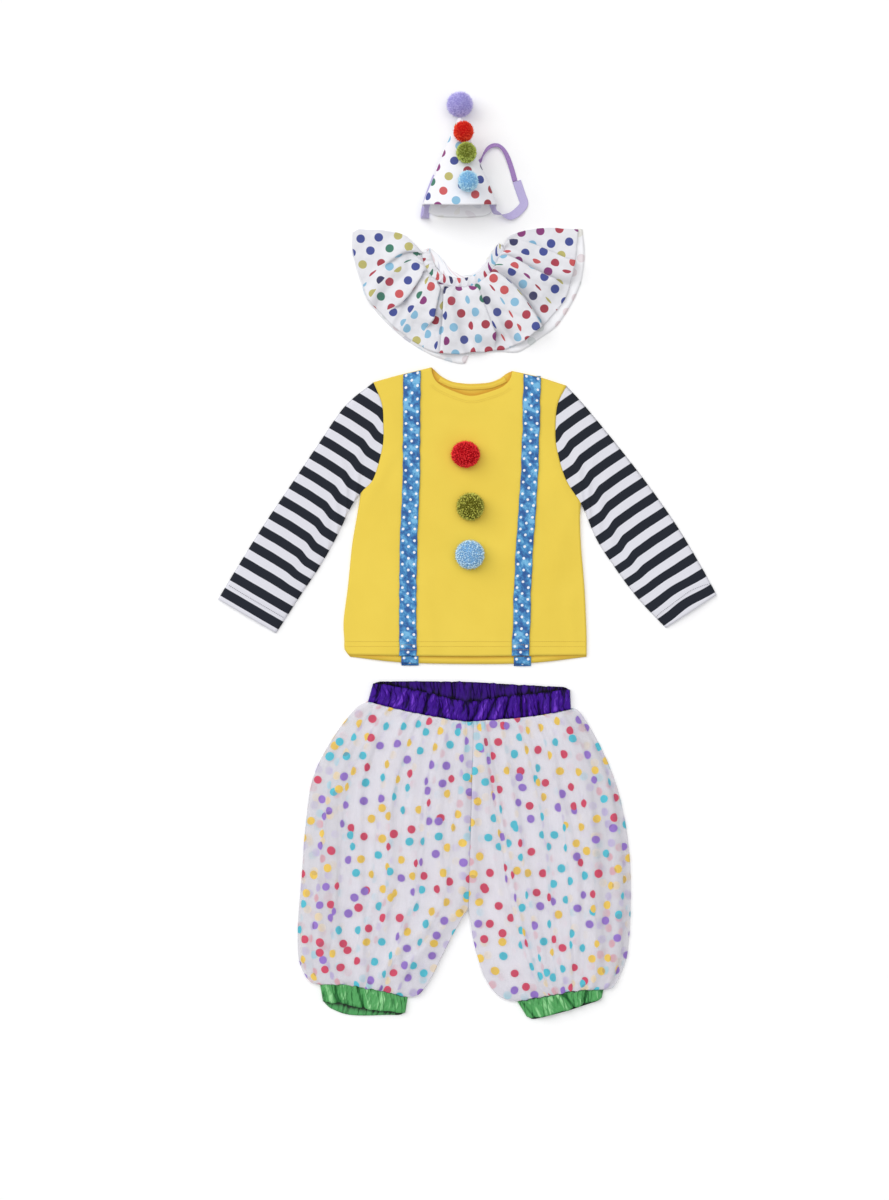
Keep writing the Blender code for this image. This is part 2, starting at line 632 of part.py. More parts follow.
# ---------------------------------------------------------------- trousers
WAIST_STEPS = 16
WAIST_BACK_TOP = ((-133.5, -176.5), (-70, -176.2), (0, -177.0), (70, -181.0), (143.4, -184.5))
WAIST_BACK_LOW = ((-139.5, -205.5), (-70, -206.0), (0, -207.0), (70, -210.5), (143.6, -214.5))
WAIST_FRONT_TOP = ((-132.5, -178.0), (-100, -183.6), (-63, -190.6), (-30.8, -198.8), (-5, -203.8),
                   (18.2, -202.6), (53.2, -197.4), (99.4, -192.8), (142.4, -187.0))
WAIST_FRONT_LOW = ((-140.8, -204.4), (-98, -214.9), (-53.9, -224.1), (-7.4, -231.7),
                   (13.4, -231.2), (76.2, -226.5), (111, -221.9), (144.5, -216.0))
CENTRE_X = 8.0                       # centre seam at the waist
CROTCH = (0.6, -493.5)
LEGS = {
    # outer side, inner leg, cuff seam from the outer side inwards, cuff's front and back edges
    "left": {
        "side": ((-158, -215.5), (-189, -255.5), (-217, -311.5), (-227.5, -380), (-233, -451.5),
                 (-238, -515), (-237.0, -563.5), (-226.8, -589.5), (-216, -599.0)),
        "inseam": ((-8.4, -507.5), (-23.8, -535.5), (-37.8, -563.5), (-51.8, -591.5), (-66, -611.5),
                   (-76, -617.0)),
        "cuff": ((-208.0, -595.5), (-170, -597.5), (-130, -605.3), (-84.3, -617.4)),
        "front": ((-204.6, -624.2), (-177, -626.6), (-151, -632.6), (-108, -637.6), (-87.3, -641.4)),
        "back": ((-201.6, -629.5), (-174.9, -641.2), (-149.2, -644.1), (-110, -643.3),
                 (-88.3, -644.2)),
        "lining": ((-134, -217), (-154, -246.4), (-170.8, -276.5), (-180.6, -308), (-182, -400),
                   (-184, -500), (-198, -570)),
    },
    "right": {
        "side": ((155.5, -218.5), (179.2, -255.5), (204.4, -311.5), (219, -367.5), (226.8, -430),
                 (227.5, -500), (223, -558), (214, -586), (203, -604.0)),
        "inseam": ((3.0, -507.5), (7.0, -535.5), (14.0, -563.5), (24.0, -591.5), (40.0, -613.5),
                   (56, -622.0)),
        "cuff": ((190.0, -606.8), (160.0, -607.0), (120.0, -613.5), (68.7, -623.4)),
        "front": ((187.5, -621.2), (163.4, -627.3), (139.9, -635.4), (98.6, -645.9), (82.3, -647.4)),
        "back": ((187.5, -622.2), (163.4, -629.6), (139.9, -637.4), (98.6, -648.1), (82.3, -649.4)),
        "lining": ((134, -222), (150, -250.4), (164.8, -280.5), (172.6, -312), (176, -400),
                   (178, -500), (184, -570)),
    },
}
LEG_ROWS = (7, 4)                    # waist to crotch, crotch to cuff
LEG_COLUMNS = 6
PUFF_COLUMNS = 18                    # the front overlay's, a multiple of the others'
WAIST_ROOM = ROOM
CUFF_ROOM = ROOM
LINING_INSET = 4.0
ON_BACK = OVERLAY + LINING + 2 * SEAM    # underside of the front lining, on the back lining
SIDE_DROP = 13.0                     # how near its outer side the front overlay comes down
GATHERS = (
    # place at the waist, place at the cuff, width, height, where it starts and ends down the leg
    (0.10, 0.16, 0.045, 0.75, 0.00, 0.80),
    (0.24, 0.30, 0.040, 0.55, 0.10, 1.00),
    (0.38, 0.40, 0.045, 1.00, 0.00, 0.70),
    (0.52, 0.52, 0.040, 0.60, 0.25, 1.00),
    (0.66, 0.62, 0.045, 0.90, 0.00, 1.00),
    (0.82, 0.80, 0.045, 0.80, 0.00, 0.75),
)
GATHER_HEIGHT = 4.0
LEG_CROWN = 6.0
OVER_EASE = 0.5                      # slack between the lining and the overlay over it


def band_room(place, room):
    """Inside height of a flattened band at a place across it, 0 to 1."""
    return SEAM + room * np.sin(math.pi * np.clip(place, 0, 1)) ** 0.5


def band(upper, lower):
    """One face of a band in plan, between its two edges, with its fold columns."""
    sides = [run((upper[end], lower[end]), even(2)) for end in (0, -1)]
    return fold_columns(patch(upper, lower, *sides))


def make_waistband(finish):
    across = even(WAIST_STEPS)
    low = band(run(WAIST_BACK_TOP, across), run(WAIST_BACK_LOW, across))
    top = band(run(WAIST_FRONT_TOP, across), run(WAIST_FRONT_LOW, across))
    height = 2 * BAND + fold_room(across, WAIST_ROOM)
    tube("pants_waistband", raised(low, 0.0), raised(top, height), BAND, finish)


def make_cuff(side, leg, finish):
    across = even(LEG_COLUMNS)
    seam = run(leg["cuff"], across) - np.array([0.0, EASE + SEAM])
    low = band(seam, run(leg["back"], across))
    top = band(seam, run(leg["front"], across))
    height = 2 * CUFF + fold_room(across, CUFF_ROOM)
    tube("pants_cuff_" + side, raised(low, 0.0), raised(top, height), CUFF, finish)


def waist_place(x):
    """Where a point of the waist seam is across the waistband, 0 to 1."""
    left, right = WAIST_FRONT_LOW[0][0], WAIST_FRONT_LOW[-1][0]
    return (x - left) / (right - left)


def leg_panel(side, waist, outer, columns, inset=0.0):
    """One leg panel in plan, between its waist, cuff, outer side and inner side."""
    leg = LEGS[side]
    sign = -1 if side == "left" else 1
    top_rows, low_rows = LEG_ROWS
    centre = np.array([CENTRE_X + sign * SEAM / 2, 0.0])
    line = run(waist, even(60)) - np.array([0.0, EASE + 2 * SEAM])
    middle_y = np.interp(centre[0], line[:, 0], line[:, 1])
    outer_x = line[0, 0] + inset if sign < 0 else line[-1, 0] - inset
    xs = outer_x + (centre[0] - outer_x) * even(columns)
    waist_edge = np.column_stack([xs, np.interp(xs, line[:, 0], line[:, 1])])
    cuff = run(leg["cuff"], even(columns))
    start = tuple(waist_edge[0])
    side_edge = run((start,) + outer + (tuple(cuff[0]),), even(top_rows + low_rows))
    crotch = (CROTCH[0] + sign * SEAM / 2, CROTCH[1])
    inner_edge = joined(
        run(((centre[0], middle_y), crotch), even(top_rows)),
        run((crotch,) + leg["inseam"] + (tuple(cuff[-1]),), even(low_rows)),
    )
    return patch(waist_edge, cuff, side_edge, inner_edge)


def front_base(flat):
    """Underside of a front panel before its gathers: level with the bands at waist and cuff,
    and down on the back between them."""
    u = even(flat.shape[1] - 1)[None, :]
    down = even(flat.shape[0] - 1)[:, None]
    at_waist = BAND + band_room(waist_place(flat[:1, :, 0]), WAIST_ROOM)
    at_cuff = np.maximum(CUFF + band_room(u, CUFF_ROOM), ON_BACK)
    height = ON_BACK + (at_waist - ON_BACK) * smooth(1 - down * 5)
    return height + (at_cuff - height) * smooth((down - 0.84) * 7)


def gathers(flat):
    u = even(flat.shape[1] - 1)[None, :]
    down = even(flat.shape[0] - 1)[:, None]
    total = np.zeros(flat.shape[:2])
    for waist, cuff, width, height, start, stop in GATHERS:
        place = waist + (cuff - waist) * down
        window = smooth((down - start + 0.12) * 7) * smooth((stop + 0.12 - down) * 7)
        total += height * ridge(u - place, width) * window
    return GATHER_HEIGHT * total


def make_trousers():
    satin = material("waist_satin", (0.11, 0.03, 0.38), 0.35)
    green = material("cuff_satin", (0.06, 0.28, 0.08), 0.35)
    plain = material("trouser_lining", (0.73, 0.73, 0.80), 0.8)
    spotted = material("trouser_overlay", (0.80, 0.78, 0.86), 0.6)
    make_waistband(satin)
    for side, leg in LEGS.items():
        make_cuff(side, leg, green)
        flat = leg_panel(side, WAIST_BACK_LOW, leg["side"], LEG_COLUMNS)
        sheet("pants_overlay_back_" + side, raised(flat, 0.0), OVERLAY, spotted)
        flat = leg_panel(side, WAIST_BACK_LOW, leg["lining"], LEG_COLUMNS, LINING_INSET)
        sheet("pants_lining_back_" + side, raised(flat, OVERLAY + SEAM), LINING, plain)
        flat = leg_panel(side, WAIST_FRONT_LOW, leg["lining"], LEG_COLUMNS, LINING_INSET)
        sheet("pants_lining_front_" + side, raised(flat, front_base(flat)), LINING, plain)
        flat = leg_panel(side, WAIST_FRONT_LOW, leg["side"], PUFF_COLUMNS)
        sheet("pants_overlay_front_" + side, raised(flat, overlay_height(flat)), OVERLAY, spotted)


def overlay_height(flat):
    """Underside of a front overlay: puffed over the lining, and down on the back overlay along
    its outer side, where there is no lining."""
    u = even(flat.shape[1] - 1)[None, :]
    down = even(flat.shape[0] - 1)[:, None]
    ends = smooth(down * 6) * smooth((1 - down) * 6)
    inner = np.where(down > LEG_ROWS[0] / sum(LEG_ROWS) - 0.01, smooth((1 - u) * 5), 1.0)
    puff = (LEG_CROWN * smooth(u * 4) + gathers(flat) * smooth(u * 9)) * inner
    height = front_base(flat) + LINING + SEAM + OVER_EASE + puff * (0.12 + 0.88 * ends)
    aside = np.linalg.norm(flat - flat[:, :1], axis=2)
    drop = (1 - smooth(aside / SIDE_DROP)) * smooth(down * 9) * smooth((1 - down) * 9)
    return height + (OVERLAY + SEAM - height) * drop


def clear_scene():
    for item in list(bpy.data.objects):
        bpy.data.objects.remove(item, do_unlink=True)


clear_scene()
COSTUME = bpy.data.collections.new("clown_costume")
bpy.context.scene.collection.children.link(COSTUME)
make_hat()
make_ruff()
make_shirt()
make_trousers()
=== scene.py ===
# %% [markdown]
# # A clown costume set, laid out flat
#
# The set is four garments on one table, seen from straight above: a cone hat with a chin strap, a
# pleated ruff, a shirt with ribbon braces and pompoms, and balloon trousers of a sheer spotted cloth
# over a plain lining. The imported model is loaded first, as a frame that nothing moves. Each of its
# solids is then replaced by a thin shell of cloth that lies where the solid lies and adds what a plain
# solid leaves out: folds, pleats, gathers, stitches, yarn and print.
#
# Lengths are millimetres everywhere, and MM turns them into metres where a mesh is made.

# %% Load the fixed frame
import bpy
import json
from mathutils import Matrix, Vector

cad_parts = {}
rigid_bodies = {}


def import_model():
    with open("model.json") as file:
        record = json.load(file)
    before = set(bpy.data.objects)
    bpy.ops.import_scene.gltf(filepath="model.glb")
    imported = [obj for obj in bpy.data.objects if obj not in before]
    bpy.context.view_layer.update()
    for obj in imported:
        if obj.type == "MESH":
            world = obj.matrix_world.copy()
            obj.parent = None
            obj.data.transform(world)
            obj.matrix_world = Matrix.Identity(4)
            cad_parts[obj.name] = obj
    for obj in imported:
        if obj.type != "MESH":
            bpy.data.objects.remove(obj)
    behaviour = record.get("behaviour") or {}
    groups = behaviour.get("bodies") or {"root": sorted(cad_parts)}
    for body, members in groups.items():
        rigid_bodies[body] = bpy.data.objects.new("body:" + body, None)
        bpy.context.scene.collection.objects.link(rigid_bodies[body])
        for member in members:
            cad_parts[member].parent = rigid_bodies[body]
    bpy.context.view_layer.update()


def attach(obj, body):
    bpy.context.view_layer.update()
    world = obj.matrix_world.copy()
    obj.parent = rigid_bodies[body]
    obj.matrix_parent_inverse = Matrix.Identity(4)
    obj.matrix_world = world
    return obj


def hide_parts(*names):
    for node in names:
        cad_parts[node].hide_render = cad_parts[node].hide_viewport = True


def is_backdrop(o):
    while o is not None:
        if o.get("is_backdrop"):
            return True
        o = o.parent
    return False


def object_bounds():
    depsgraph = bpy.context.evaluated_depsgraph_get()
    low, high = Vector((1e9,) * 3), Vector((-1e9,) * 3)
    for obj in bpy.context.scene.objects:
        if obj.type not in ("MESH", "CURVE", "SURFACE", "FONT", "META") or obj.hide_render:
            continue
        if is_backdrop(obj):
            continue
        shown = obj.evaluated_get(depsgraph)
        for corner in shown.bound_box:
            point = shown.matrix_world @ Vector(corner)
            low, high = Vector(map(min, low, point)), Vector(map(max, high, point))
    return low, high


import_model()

# %% Modules and units
import json
import math
from functools import partialmethod

import bmesh
import bpy
import numpy as np

MM = 0.001
UP = np.array([0.0, 0.0, 1.0])
FRAME_WIDTH, FRAME_HEIGHT = 889, 1200
TOTALS = {}

# %% [markdown]
# ## Walls and gaps
#
# Cloth is a wall of real thickness. Two pieces that are sewn to each other stop a hair apart, so that
# neither cuts into the other, and a panel that lies on another leaves the same gap under it.

# %% Cloth thicknesses
SEAM = 0.3  # gap between two pieces that lie on each other
SEWN = 0.12  # gap along a sewn seam
JERSEY = 1.2
OVERLAY = 1.0
LINING = 1.0
FRILL = 1.0
FELT = 1.5
BAND = 2.4  # waistband: two layers of satin on elastic
CUFF = 2.0
RIBBON = 1.0

# %% [markdown]
# ## Curves and grids
#
# A pattern piece is drawn by its edges. Each edge is a smooth curve through a few points, and a patch
# fills the four edges with a grid. The grid is then lifted to the height that the cloth has there.
# This is quicker to correct than a sculpted mesh: moving one point of an edge moves the whole panel.


# %% Curves through points
def even(steps):
    return np.linspace(0.0, 1.0, steps + 1)


def unit(vectors):
    return vectors / np.maximum(np.linalg.norm(vectors, axis=-1, keepdims=True), 1e-9)


def path_lengths(line):
    """Length along a line from its start to each of its points."""
    steps = np.linalg.norm(np.diff(line, axis=0), axis=1)
    return np.concatenate([[0.0], np.cumsum(steps)])


def run(points, places):
    """Points at the given places, 0 to 1 by length, on a smooth curve through the points."""
    points = np.array(points, float)
    line = np.vstack([2 * points[:1] - points[1:2], points, 2 * points[-1:] - points[-2:-1]])
    t = np.linspace(0.0, 1.0, 24, endpoint=False)[:, None]
    spans = []
    for a, b, c, d in zip(line, line[1:], line[2:], line[3:]):
        bend = (2 * a - 5 * b + 4 * c - d) * t**2 + (3 * b - a - 3 * c + d) * t**3
        spans.append(0.5 * (2 * b + (c - a) * t + bend))
    dense = np.vstack(spans + [points[-1:]])
    length = path_lengths(dense)
    wanted = np.asarray(places) * length[-1]
    return np.column_stack([np.interp(wanted, length, axis) for axis in dense.T])


def edge_run(first, points, last, places):
    """A run that starts and ends at two corners."""
    return run((tuple(first), *points, tuple(last)), places)


def joined(*runs):
    """One edge from several that meet end to end, with a corner at each meeting."""
    return np.vstack([runs[0]] + [later[1:] for later in runs[1:]])


def sideways(line, distance):
    """The line moved to its left by a distance, in plan."""
    along = unit(np.gradient(line[:, :2], axis=0))
    moved = line.copy()
    moved[:, 0] -= along[:, 1] * distance
    moved[:, 1] += along[:, 0] * distance
    return moved


# %% Patches and heights
def patch(first, last, left, right):
    """Grid of points that fills four edges. Rows go from first to last, columns left to right."""
    u = even(len(first) - 1)[None, :, None]
    v = even(len(left) - 1)[:, None, None]
    rows = (1 - v) * first[None] + v * last[None]
    columns = (1 - u) * left[:, None] + u * right[:, None]
    corners = (1 - v) * ((1 - u) * first[0] + u * first[-1])
    corners = corners + v * ((1 - u) * last[0] + u * last[-1])
    return rows + columns - corners


def grid_places(grid):
    """Each point's place across and down a grid, 0 to 1, as a row and a column of numbers."""
    rows, columns = grid.shape[:2]
    return even(columns - 1)[None, :], even(rows - 1)[:, None]


def distances(grid, edge):
    """Distance of each point of a grid from the point of an edge in its own row or column."""
    return np.linalg.norm(grid - edge, axis=2)


def raised(flat, height):
    """The grid's x and y with a height, a number or an array."""
    return np.dstack([flat[..., 0], flat[..., 1], np.broadcast_to(height, flat.shape[:2])])


def smooth(value):
    value = np.clip(value, 0.0, 1.0)
    return value * value * (3 - 2 * value)


def ridge(distance, width):
    """A soft fold's height, 1 on its crest, dying away on both sides."""
    return np.exp(-((distance / width) ** 2))


def near_ends(along, width):
    """1 at the first and the last of some places, dying away between them."""
    return ridge(along, width) + ridge(along.max() - along, width)


def off_ends(place, pace):
    """0 at places 0 and 1, and 1 between them. A high pace makes a short way up."""
    return smooth(place * pace) * smooth((1 - place) * pace)


def uneven_ridge(distance, before, after):
    """A fold that climbs over one width and falls over another."""
    return ridge(distance, np.where(distance < 0, before, after))


def relaxed(grid, rounds):
    """The grid with its inner points evened out, which unfolds cells beside a pointed corner."""
    grid = grid.copy()
    for _ in range(rounds):
        grid[1:-1, 1:-1] = (grid[:-2, 1:-1] + grid[2:, 1:-1] + grid[1:-1, :-2] + grid[1:-1, 2:]) / 4
    return grid


def ripple(x, y, seed, size):
    """Soft, irregular ups and downs between -1 and 1, about one size apart."""
    draw = np.random.default_rng(seed)
    total = 0.0
    for _ in range(6):
        turn, phase = draw.uniform(0, 2 * math.pi, 2)
        pace = 2 * math.pi / (size * draw.uniform(0.7, 1.6))
        total = total + np.sin((x * math.cos(turn) + y * math.sin(turn)) * pace + phase)
    return total / 3.6


# %% Folds drawn on a panel
def fold_line(x, y, fold):
    """Height of one fold that runs down a panel. A fold is its height, its widths on its two
    sides, and the points that its crest goes through, from the top down."""
    height, before, after, points = fold
    dense = run(points[::-1], even(40))
    slope = np.gradient(dense[:, 0], dense[:, 1])
    at = np.clip(y, dense[0, 1], dense[-1, 1])
    crest = np.interp(at, dense[:, 1], dense[:, 0])
    steep = np.interp(at, dense[:, 1], slope)
    aside = (x - crest) / np.sqrt(1 + steep**2)
    beyond = np.abs(y - at)
    return height * uneven_ridge(aside, before, after) * ridge(beyond, 16.0)


def fold_across(x, y, fold):
    """Height of one straight soft fold between two points of a panel."""
    x0, y0, x1, y1, width, height = fold
    length = math.hypot(x1 - x0, y1 - y0)
    ux, uy = (x1 - x0) / length, (y1 - y0) / length
    along = (x - x0) * ux + (y - y0) * uy
    aside = (x - x0) * uy - (y - y0) * ux
    beyond = np.maximum(0, np.maximum(-along, along - length))
    return height * ridge(aside, width) * ridge(beyond, 2 * width)


def tucks(place, depth, seed, count, reach, height):
    """Small tucks along a gathered seam, uneven in width, height and length."""
    draw = np.random.default_rng(seed)
    total = 0.0
    for middle in (np.arange(count) + draw.uniform(0.1, 0.9, count)) / count:
        width = draw.uniform(0.22, 0.5) / count
        length = reach * draw.uniform(0.4, 1.5)
        drift = draw.uniform(-0.5, 0.5) * 0.02
        total = total + height * draw.uniform(0.4, 1.0) * ridge(
            place - middle - drift * depth / reach, width * (1 + depth / length)) * ridge(depth, length)
    return total

# %% [markdown]
# ## From grids to shells
#
# A shell has an outer face, an inner face and a rim round its free edges. Blender's Solidify makes one
# from a single face, but it splays at sharp corners and at the folds of a flattened tube, so both faces
# are worked out here and the rim is stitched between them. The faces are turned outwards by the sign
# of the enclosed volume. Each shell carries a map of the cloth in millimetres, so that the print lies
# on the cloth and is foreshortened where a fold turns away, and a mark for its right and wrong sides.


# %% Shell mesh
def quads(rows, columns, closed=False):
    steps = columns if closed else columns - 1
    row, column = np.meshgrid(np.arange(rows - 1), np.arange(steps), indexing="ij")
    after = (column + 1) % columns
    low = row * columns
    corners = [low + column, low + columns + column, low + columns + after, low + after]
    return np.stack(corners, axis=-1).reshape(-1, 4)


def border(rows, columns):
    """The grid's edge points in order: top, right side, bottom, left side."""
    index = np.arange(rows * columns).reshape(rows, columns)
    return np.concatenate([index[0, :-1], index[:-1, -1], index[-1, :0:-1], index[:0:-1, 0]])


def add_object(name, data):
    made = bpy.data.objects.new(name, data)
    bpy.context.scene.collection.objects.link(made)
    return made


def store_mark(mesh, label, values):
    """Stores a number at each point of a mesh, which a finish reads by its label."""
    layer = mesh.attributes.new(label, "FLOAT", "POINT")
    layer.data.foreach_set("value", np.asarray(values, np.float32).ravel())


def read_points(mesh):
    """A mesh's points in millimetres."""
    points = np.empty(len(mesh.vertices) * 3, np.float32)
    mesh.vertices.foreach_get("co", points)
    return points.reshape(-1, 3) / MM


# %% A wall of cloth
def shell(name, outer, inner, cloth_map, finish, closed=False, print_sides=(1.0, 1.0), marks=()):
    """A wall of cloth between two grids. Closed joins the last column to the first."""
    rows, columns = outer.shape[:2]
    count = rows * columns
    points = np.concatenate([outer.reshape(-1, 3), inner.reshape(-1, 3)]) * MM
    around = quads(rows, columns, closed)
    mapped = quads(rows, cloth_map.shape[1])
    if closed:
        loops = [np.arange(columns), count - 1 - np.arange(columns)]
    else:
        loops = [border(rows, columns)]
    rims = [np.stack([loop, np.roll(loop, -1), np.roll(loop, -1) + count, loop + count], axis=1)
            for loop in loops]
    faces = np.concatenate([around, around[:, ::-1] + count] + rims)
    flat_map = cloth_map.reshape(-1, 2)
    by_point = cloth_map[:, :columns].reshape(-1, 2)
    rim_map = [by_point[rim % count] for rim in rims]
    corners = np.concatenate([flat_map[mapped], flat_map[mapped[:, ::-1]]] + rim_map)
    a, b, c, d = (points[faces[:, corner]] for corner in range(4))
    volume = np.sum(a * (np.cross(b, c) + np.cross(c, d)))
    if volume < 0:
        faces = faces[:, ::-1]
        corners = corners[:, ::-1]
    mesh = bpy.data.meshes.new(name)
    mesh.from_pydata(points.tolist(), [], faces.tolist())
    layer = mesh.uv_layers.new(name="cloth")
    layer.data.foreach_set("uv", corners.astype(np.float32).ravel())
    store_mark(mesh, "side", np.repeat(print_sides, count))
    for label, values in marks:
        store_mark(mesh, label, np.tile(np.broadcast_to(values, (rows, columns)).ravel(), 2))
    mesh.materials.append(finish)
    mesh.polygons.foreach_set("use_smooth", np.arange(len(faces)) < 2 * len(around))
    return add_object(name, mesh)


# %% Normals, maps and lifted sheets
def normals(grid, closed=False):
    if closed:
        wide = np.concatenate([grid[:, -1:], grid, grid[:, :1]], axis=1)
        across = np.gradient(wide, axis=1)[:, 1:-1]
    else:
        across = np.gradient(grid, axis=1)
    return unit(np.cross(np.gradient(grid, axis=0), across))


def cloth_uv(grid):
    """Plan position plus the cloth that the folds take up, measured along the rows from the
    middle column. It keeps a print undistorted where the cloth is flat."""
    step = np.diff(grid, axis=1)
    plan = step[..., :2]
    extra = np.linalg.norm(step, axis=2) - np.linalg.norm(plan, axis=2)
    taken = np.cumsum(extra[..., None] * unit(plan), axis=1)
    taken = np.concatenate([np.zeros_like(taken[:, :1]), taken], axis=1)
    middle = taken[:, taken.shape[1] // 2][:, None]
    return grid[..., :2] + taken - middle


def lift(under, thickness):
    """The top face of a sheet whose underside is given."""
    up = normals(under)
    if up[..., 2].mean() < 0:
        up = -up
    return under + up * thickness


def panel(name, under, thickness, finish, sides=(1.0, 1.0), marks=(), cloth_map=None, level=False):
    """A sheet on its underside. A level one is thickened straight up, which suits a panel that is
    nearly flat, because its cells may be too slender beside a corner to give a good normal."""
    if cloth_map is None:
        cloth_map = cloth_uv(under)
    upper = under + UP * thickness if level else lift(under, thickness)
    return shell(name, upper, under, cloth_map, finish, False, sides, marks)


def row_lengths(flat):
    return np.linalg.norm(np.diff(flat, axis=1), axis=2).sum(axis=1)[:, None]

# %% [markdown]
# A sleeve, a waistband and a cuff are rings of cloth pressed flat. Each is one closed wall: the top
# face, one side fold, the low face, the other side fold. Near a fold both faces curve towards half
# height, which gives the fold the roundness of real cloth instead of a knife edge.

# %% Flattened rings
FOLD_ROUND = 2.4  # how far in a side fold is rounded
FOLD_SHARE = 12.0  # how far in the two faces are drawn to a shared fold


def ring_map(ring, start):
    """Lengths of cloth round a closed grid from its start column, and down it from its first row."""
    wide = np.concatenate([ring, ring[:, :1]], axis=1)
    steps = np.linalg.norm(np.diff(wide, axis=1), axis=2)
    across = np.concatenate([np.zeros((len(steps), 1)), np.cumsum(steps, axis=1)], axis=1)
    across -= across[:, [start]]
    down = np.cumsum(np.linalg.norm(np.diff(wide, axis=0), axis=2), axis=0)
    return across, np.concatenate([np.zeros((1, wide.shape[1])), down])


def flat_ring(name, low, top, height, thickness, finish, sides=(1.0, 1.0), low_bumps=0.0,
              stretch=1.0, painted_tones=None):
    """A ring of cloth pressed flat. Low and top are plan grids of its two faces, height is the
    top face's height over the floor, stretch is how many times the cloth is gathered, and the
    last argument holds the marks of the low and the top face that paint shade into its creases
    and highlights onto its crests."""
    middle = (2 * thickness + SEAM) / 2
    ends = [(distances(flat, flat[:, :1]), distances(flat, flat[:, -1:])) for flat in (low, top)]
    faces = [low.copy(), top.copy()]
    for side, column in ((0, 0), (1, -1)):
        fold = (low[:, column] + top[:, column]) / 2
        for place, flat in enumerate((low, top)):
            near = 1 - smooth(ends[place][side] / FOLD_SHARE)
            faces[place] += near[..., None] * (fold - flat[:, column])[:, None]
    turns = []
    for place in (0, 1):
        away = np.minimum(*ends[place])
        turns.append(np.sqrt(np.clip(1 - (1 - np.clip(away / FOLD_ROUND, 0, 1)) ** 2, 0, 1)))
    low_z = middle * (1 - turns[0]) + low_bumps * turns[0]
    top_z = middle + (height - middle) * turns[1]
    outer_low, outer_top = raised(faces[0], low_z), raised(faces[1], top_z)
    inner_low, inner_top = outer_low + UP * thickness, outer_top - UP * thickness
    for place, wall in ((0, inner_low), (1, inner_top)):
        for side, column, inside in ((0, 0, 1), (1, -1, -2)):
            inward = unit(faces[place][:, inside] - faces[place][:, column])[:, None]
            near = 1 - smooth(ends[place][side] / (1.6 * thickness))
            wall[..., :2] += inward * (near * thickness)[..., None]
        limit, gap = (np.maximum, SEAM / 2) if place else (np.minimum, -SEAM / 2)
        wall[..., 2] = limit(wall[..., 2], middle + gap * turns[place])

    def around(one, other):
        return np.concatenate([one, other[:, -2:0:-1]], axis=1)

    outer, inner = around(outer_top, outer_low), around(inner_top, inner_low)
    across, down = ring_map(outer, outer_top.shape[1] // 2)
    marks = () if painted_tones is None else (("tone", around(painted_tones[1], painted_tones[0])),)
    return shell(name, outer, inner, np.dstack([across * stretch, -down]), finish, True, sides, marks)


# %% Placing a finished piece
def place_piece(piece, slot, *nodes):
    """Puts a finished piece on the frame: it rides on the set's one body and hides its solids."""
    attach(piece, "root")
    if nodes:
        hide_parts(*nodes)
    TOTALS[piece.name] = sum(len(face.vertices) - 2 for face in piece.data.polygons)
    print(f"{piece.name}: {TOTALS[piece.name]} triangles")

# %% [markdown]
# ## Writing finishes
#
# Every finish is a small node tree that ends in a Principled shader. The masks of a print are sums and
# products of the cloth map, so one small class wraps a socket and lets them be written as Python
# arithmetic. Colours are given as they look on a screen, 0 to 255, and turned linear once.


# %% A socket that does arithmetic
def opaque(colour):
    """A screen colour, 0 to 255, as linear light with full alpha."""
    values = np.array(colour) / 255
    linear = np.where(values <= 0.04045, values / 12.92, ((values + 0.055) / 1.055) ** 2.4)
    return (*linear.tolist(), 1.0)


def put(tree, socket, value):
    """Links a wire to a socket, or sets the socket to a colour or a number."""
    if isinstance(value, Wire):
        tree.links.new(value.socket, socket)
    elif socket.type == "RGBA":
        socket.default_value = opaque(value)
    else:
        socket.default_value = value


class Wire:
    """One output of a shader tree. Arithmetic on it adds Math nodes."""

    def __init__(self, tree, socket):
        self.tree = tree
        self.socket = socket

    def math(self, operation, *others, first=None, clamp=False):
        node = self.tree.nodes.new("ShaderNodeMath")
        node.operation = operation
        node.use_clamp = clamp
        values = (self,) + others if first is None else (first, self)
        for place, value in enumerate(values):
            put(self.tree, node.inputs[place], value)
        return Wire(self.tree, node.outputs[0])

    def __rsub__(self, other):
        return self.math("SUBTRACT", first=other)

    def floor(self):
        return self.math("FLOOR")

    def wave(self, pitch):
        """A sine wave that repeats at a pitch."""
        return (self * (2 * math.pi / pitch)).math("SINE")

    def within(self, limit, blur):
        """1 where the value is under the limit, 0 over it, with a soft edge."""
        return ((limit - self) / blur + 0.5).math("ADD", 0.0, clamp=True)


OPERATORS = {"add": "ADD", "radd": "ADD", "sub": "SUBTRACT", "mul": "MULTIPLY", "rmul": "MULTIPLY",
             "truediv": "DIVIDE", "mod": "FLOORED_MODULO", "pow": "POWER", "abs": "ABSOLUTE"}
for operator, operation in OPERATORS.items():
    setattr(Wire, f"__{operator}__", partialmethod(Wire.math, operation))


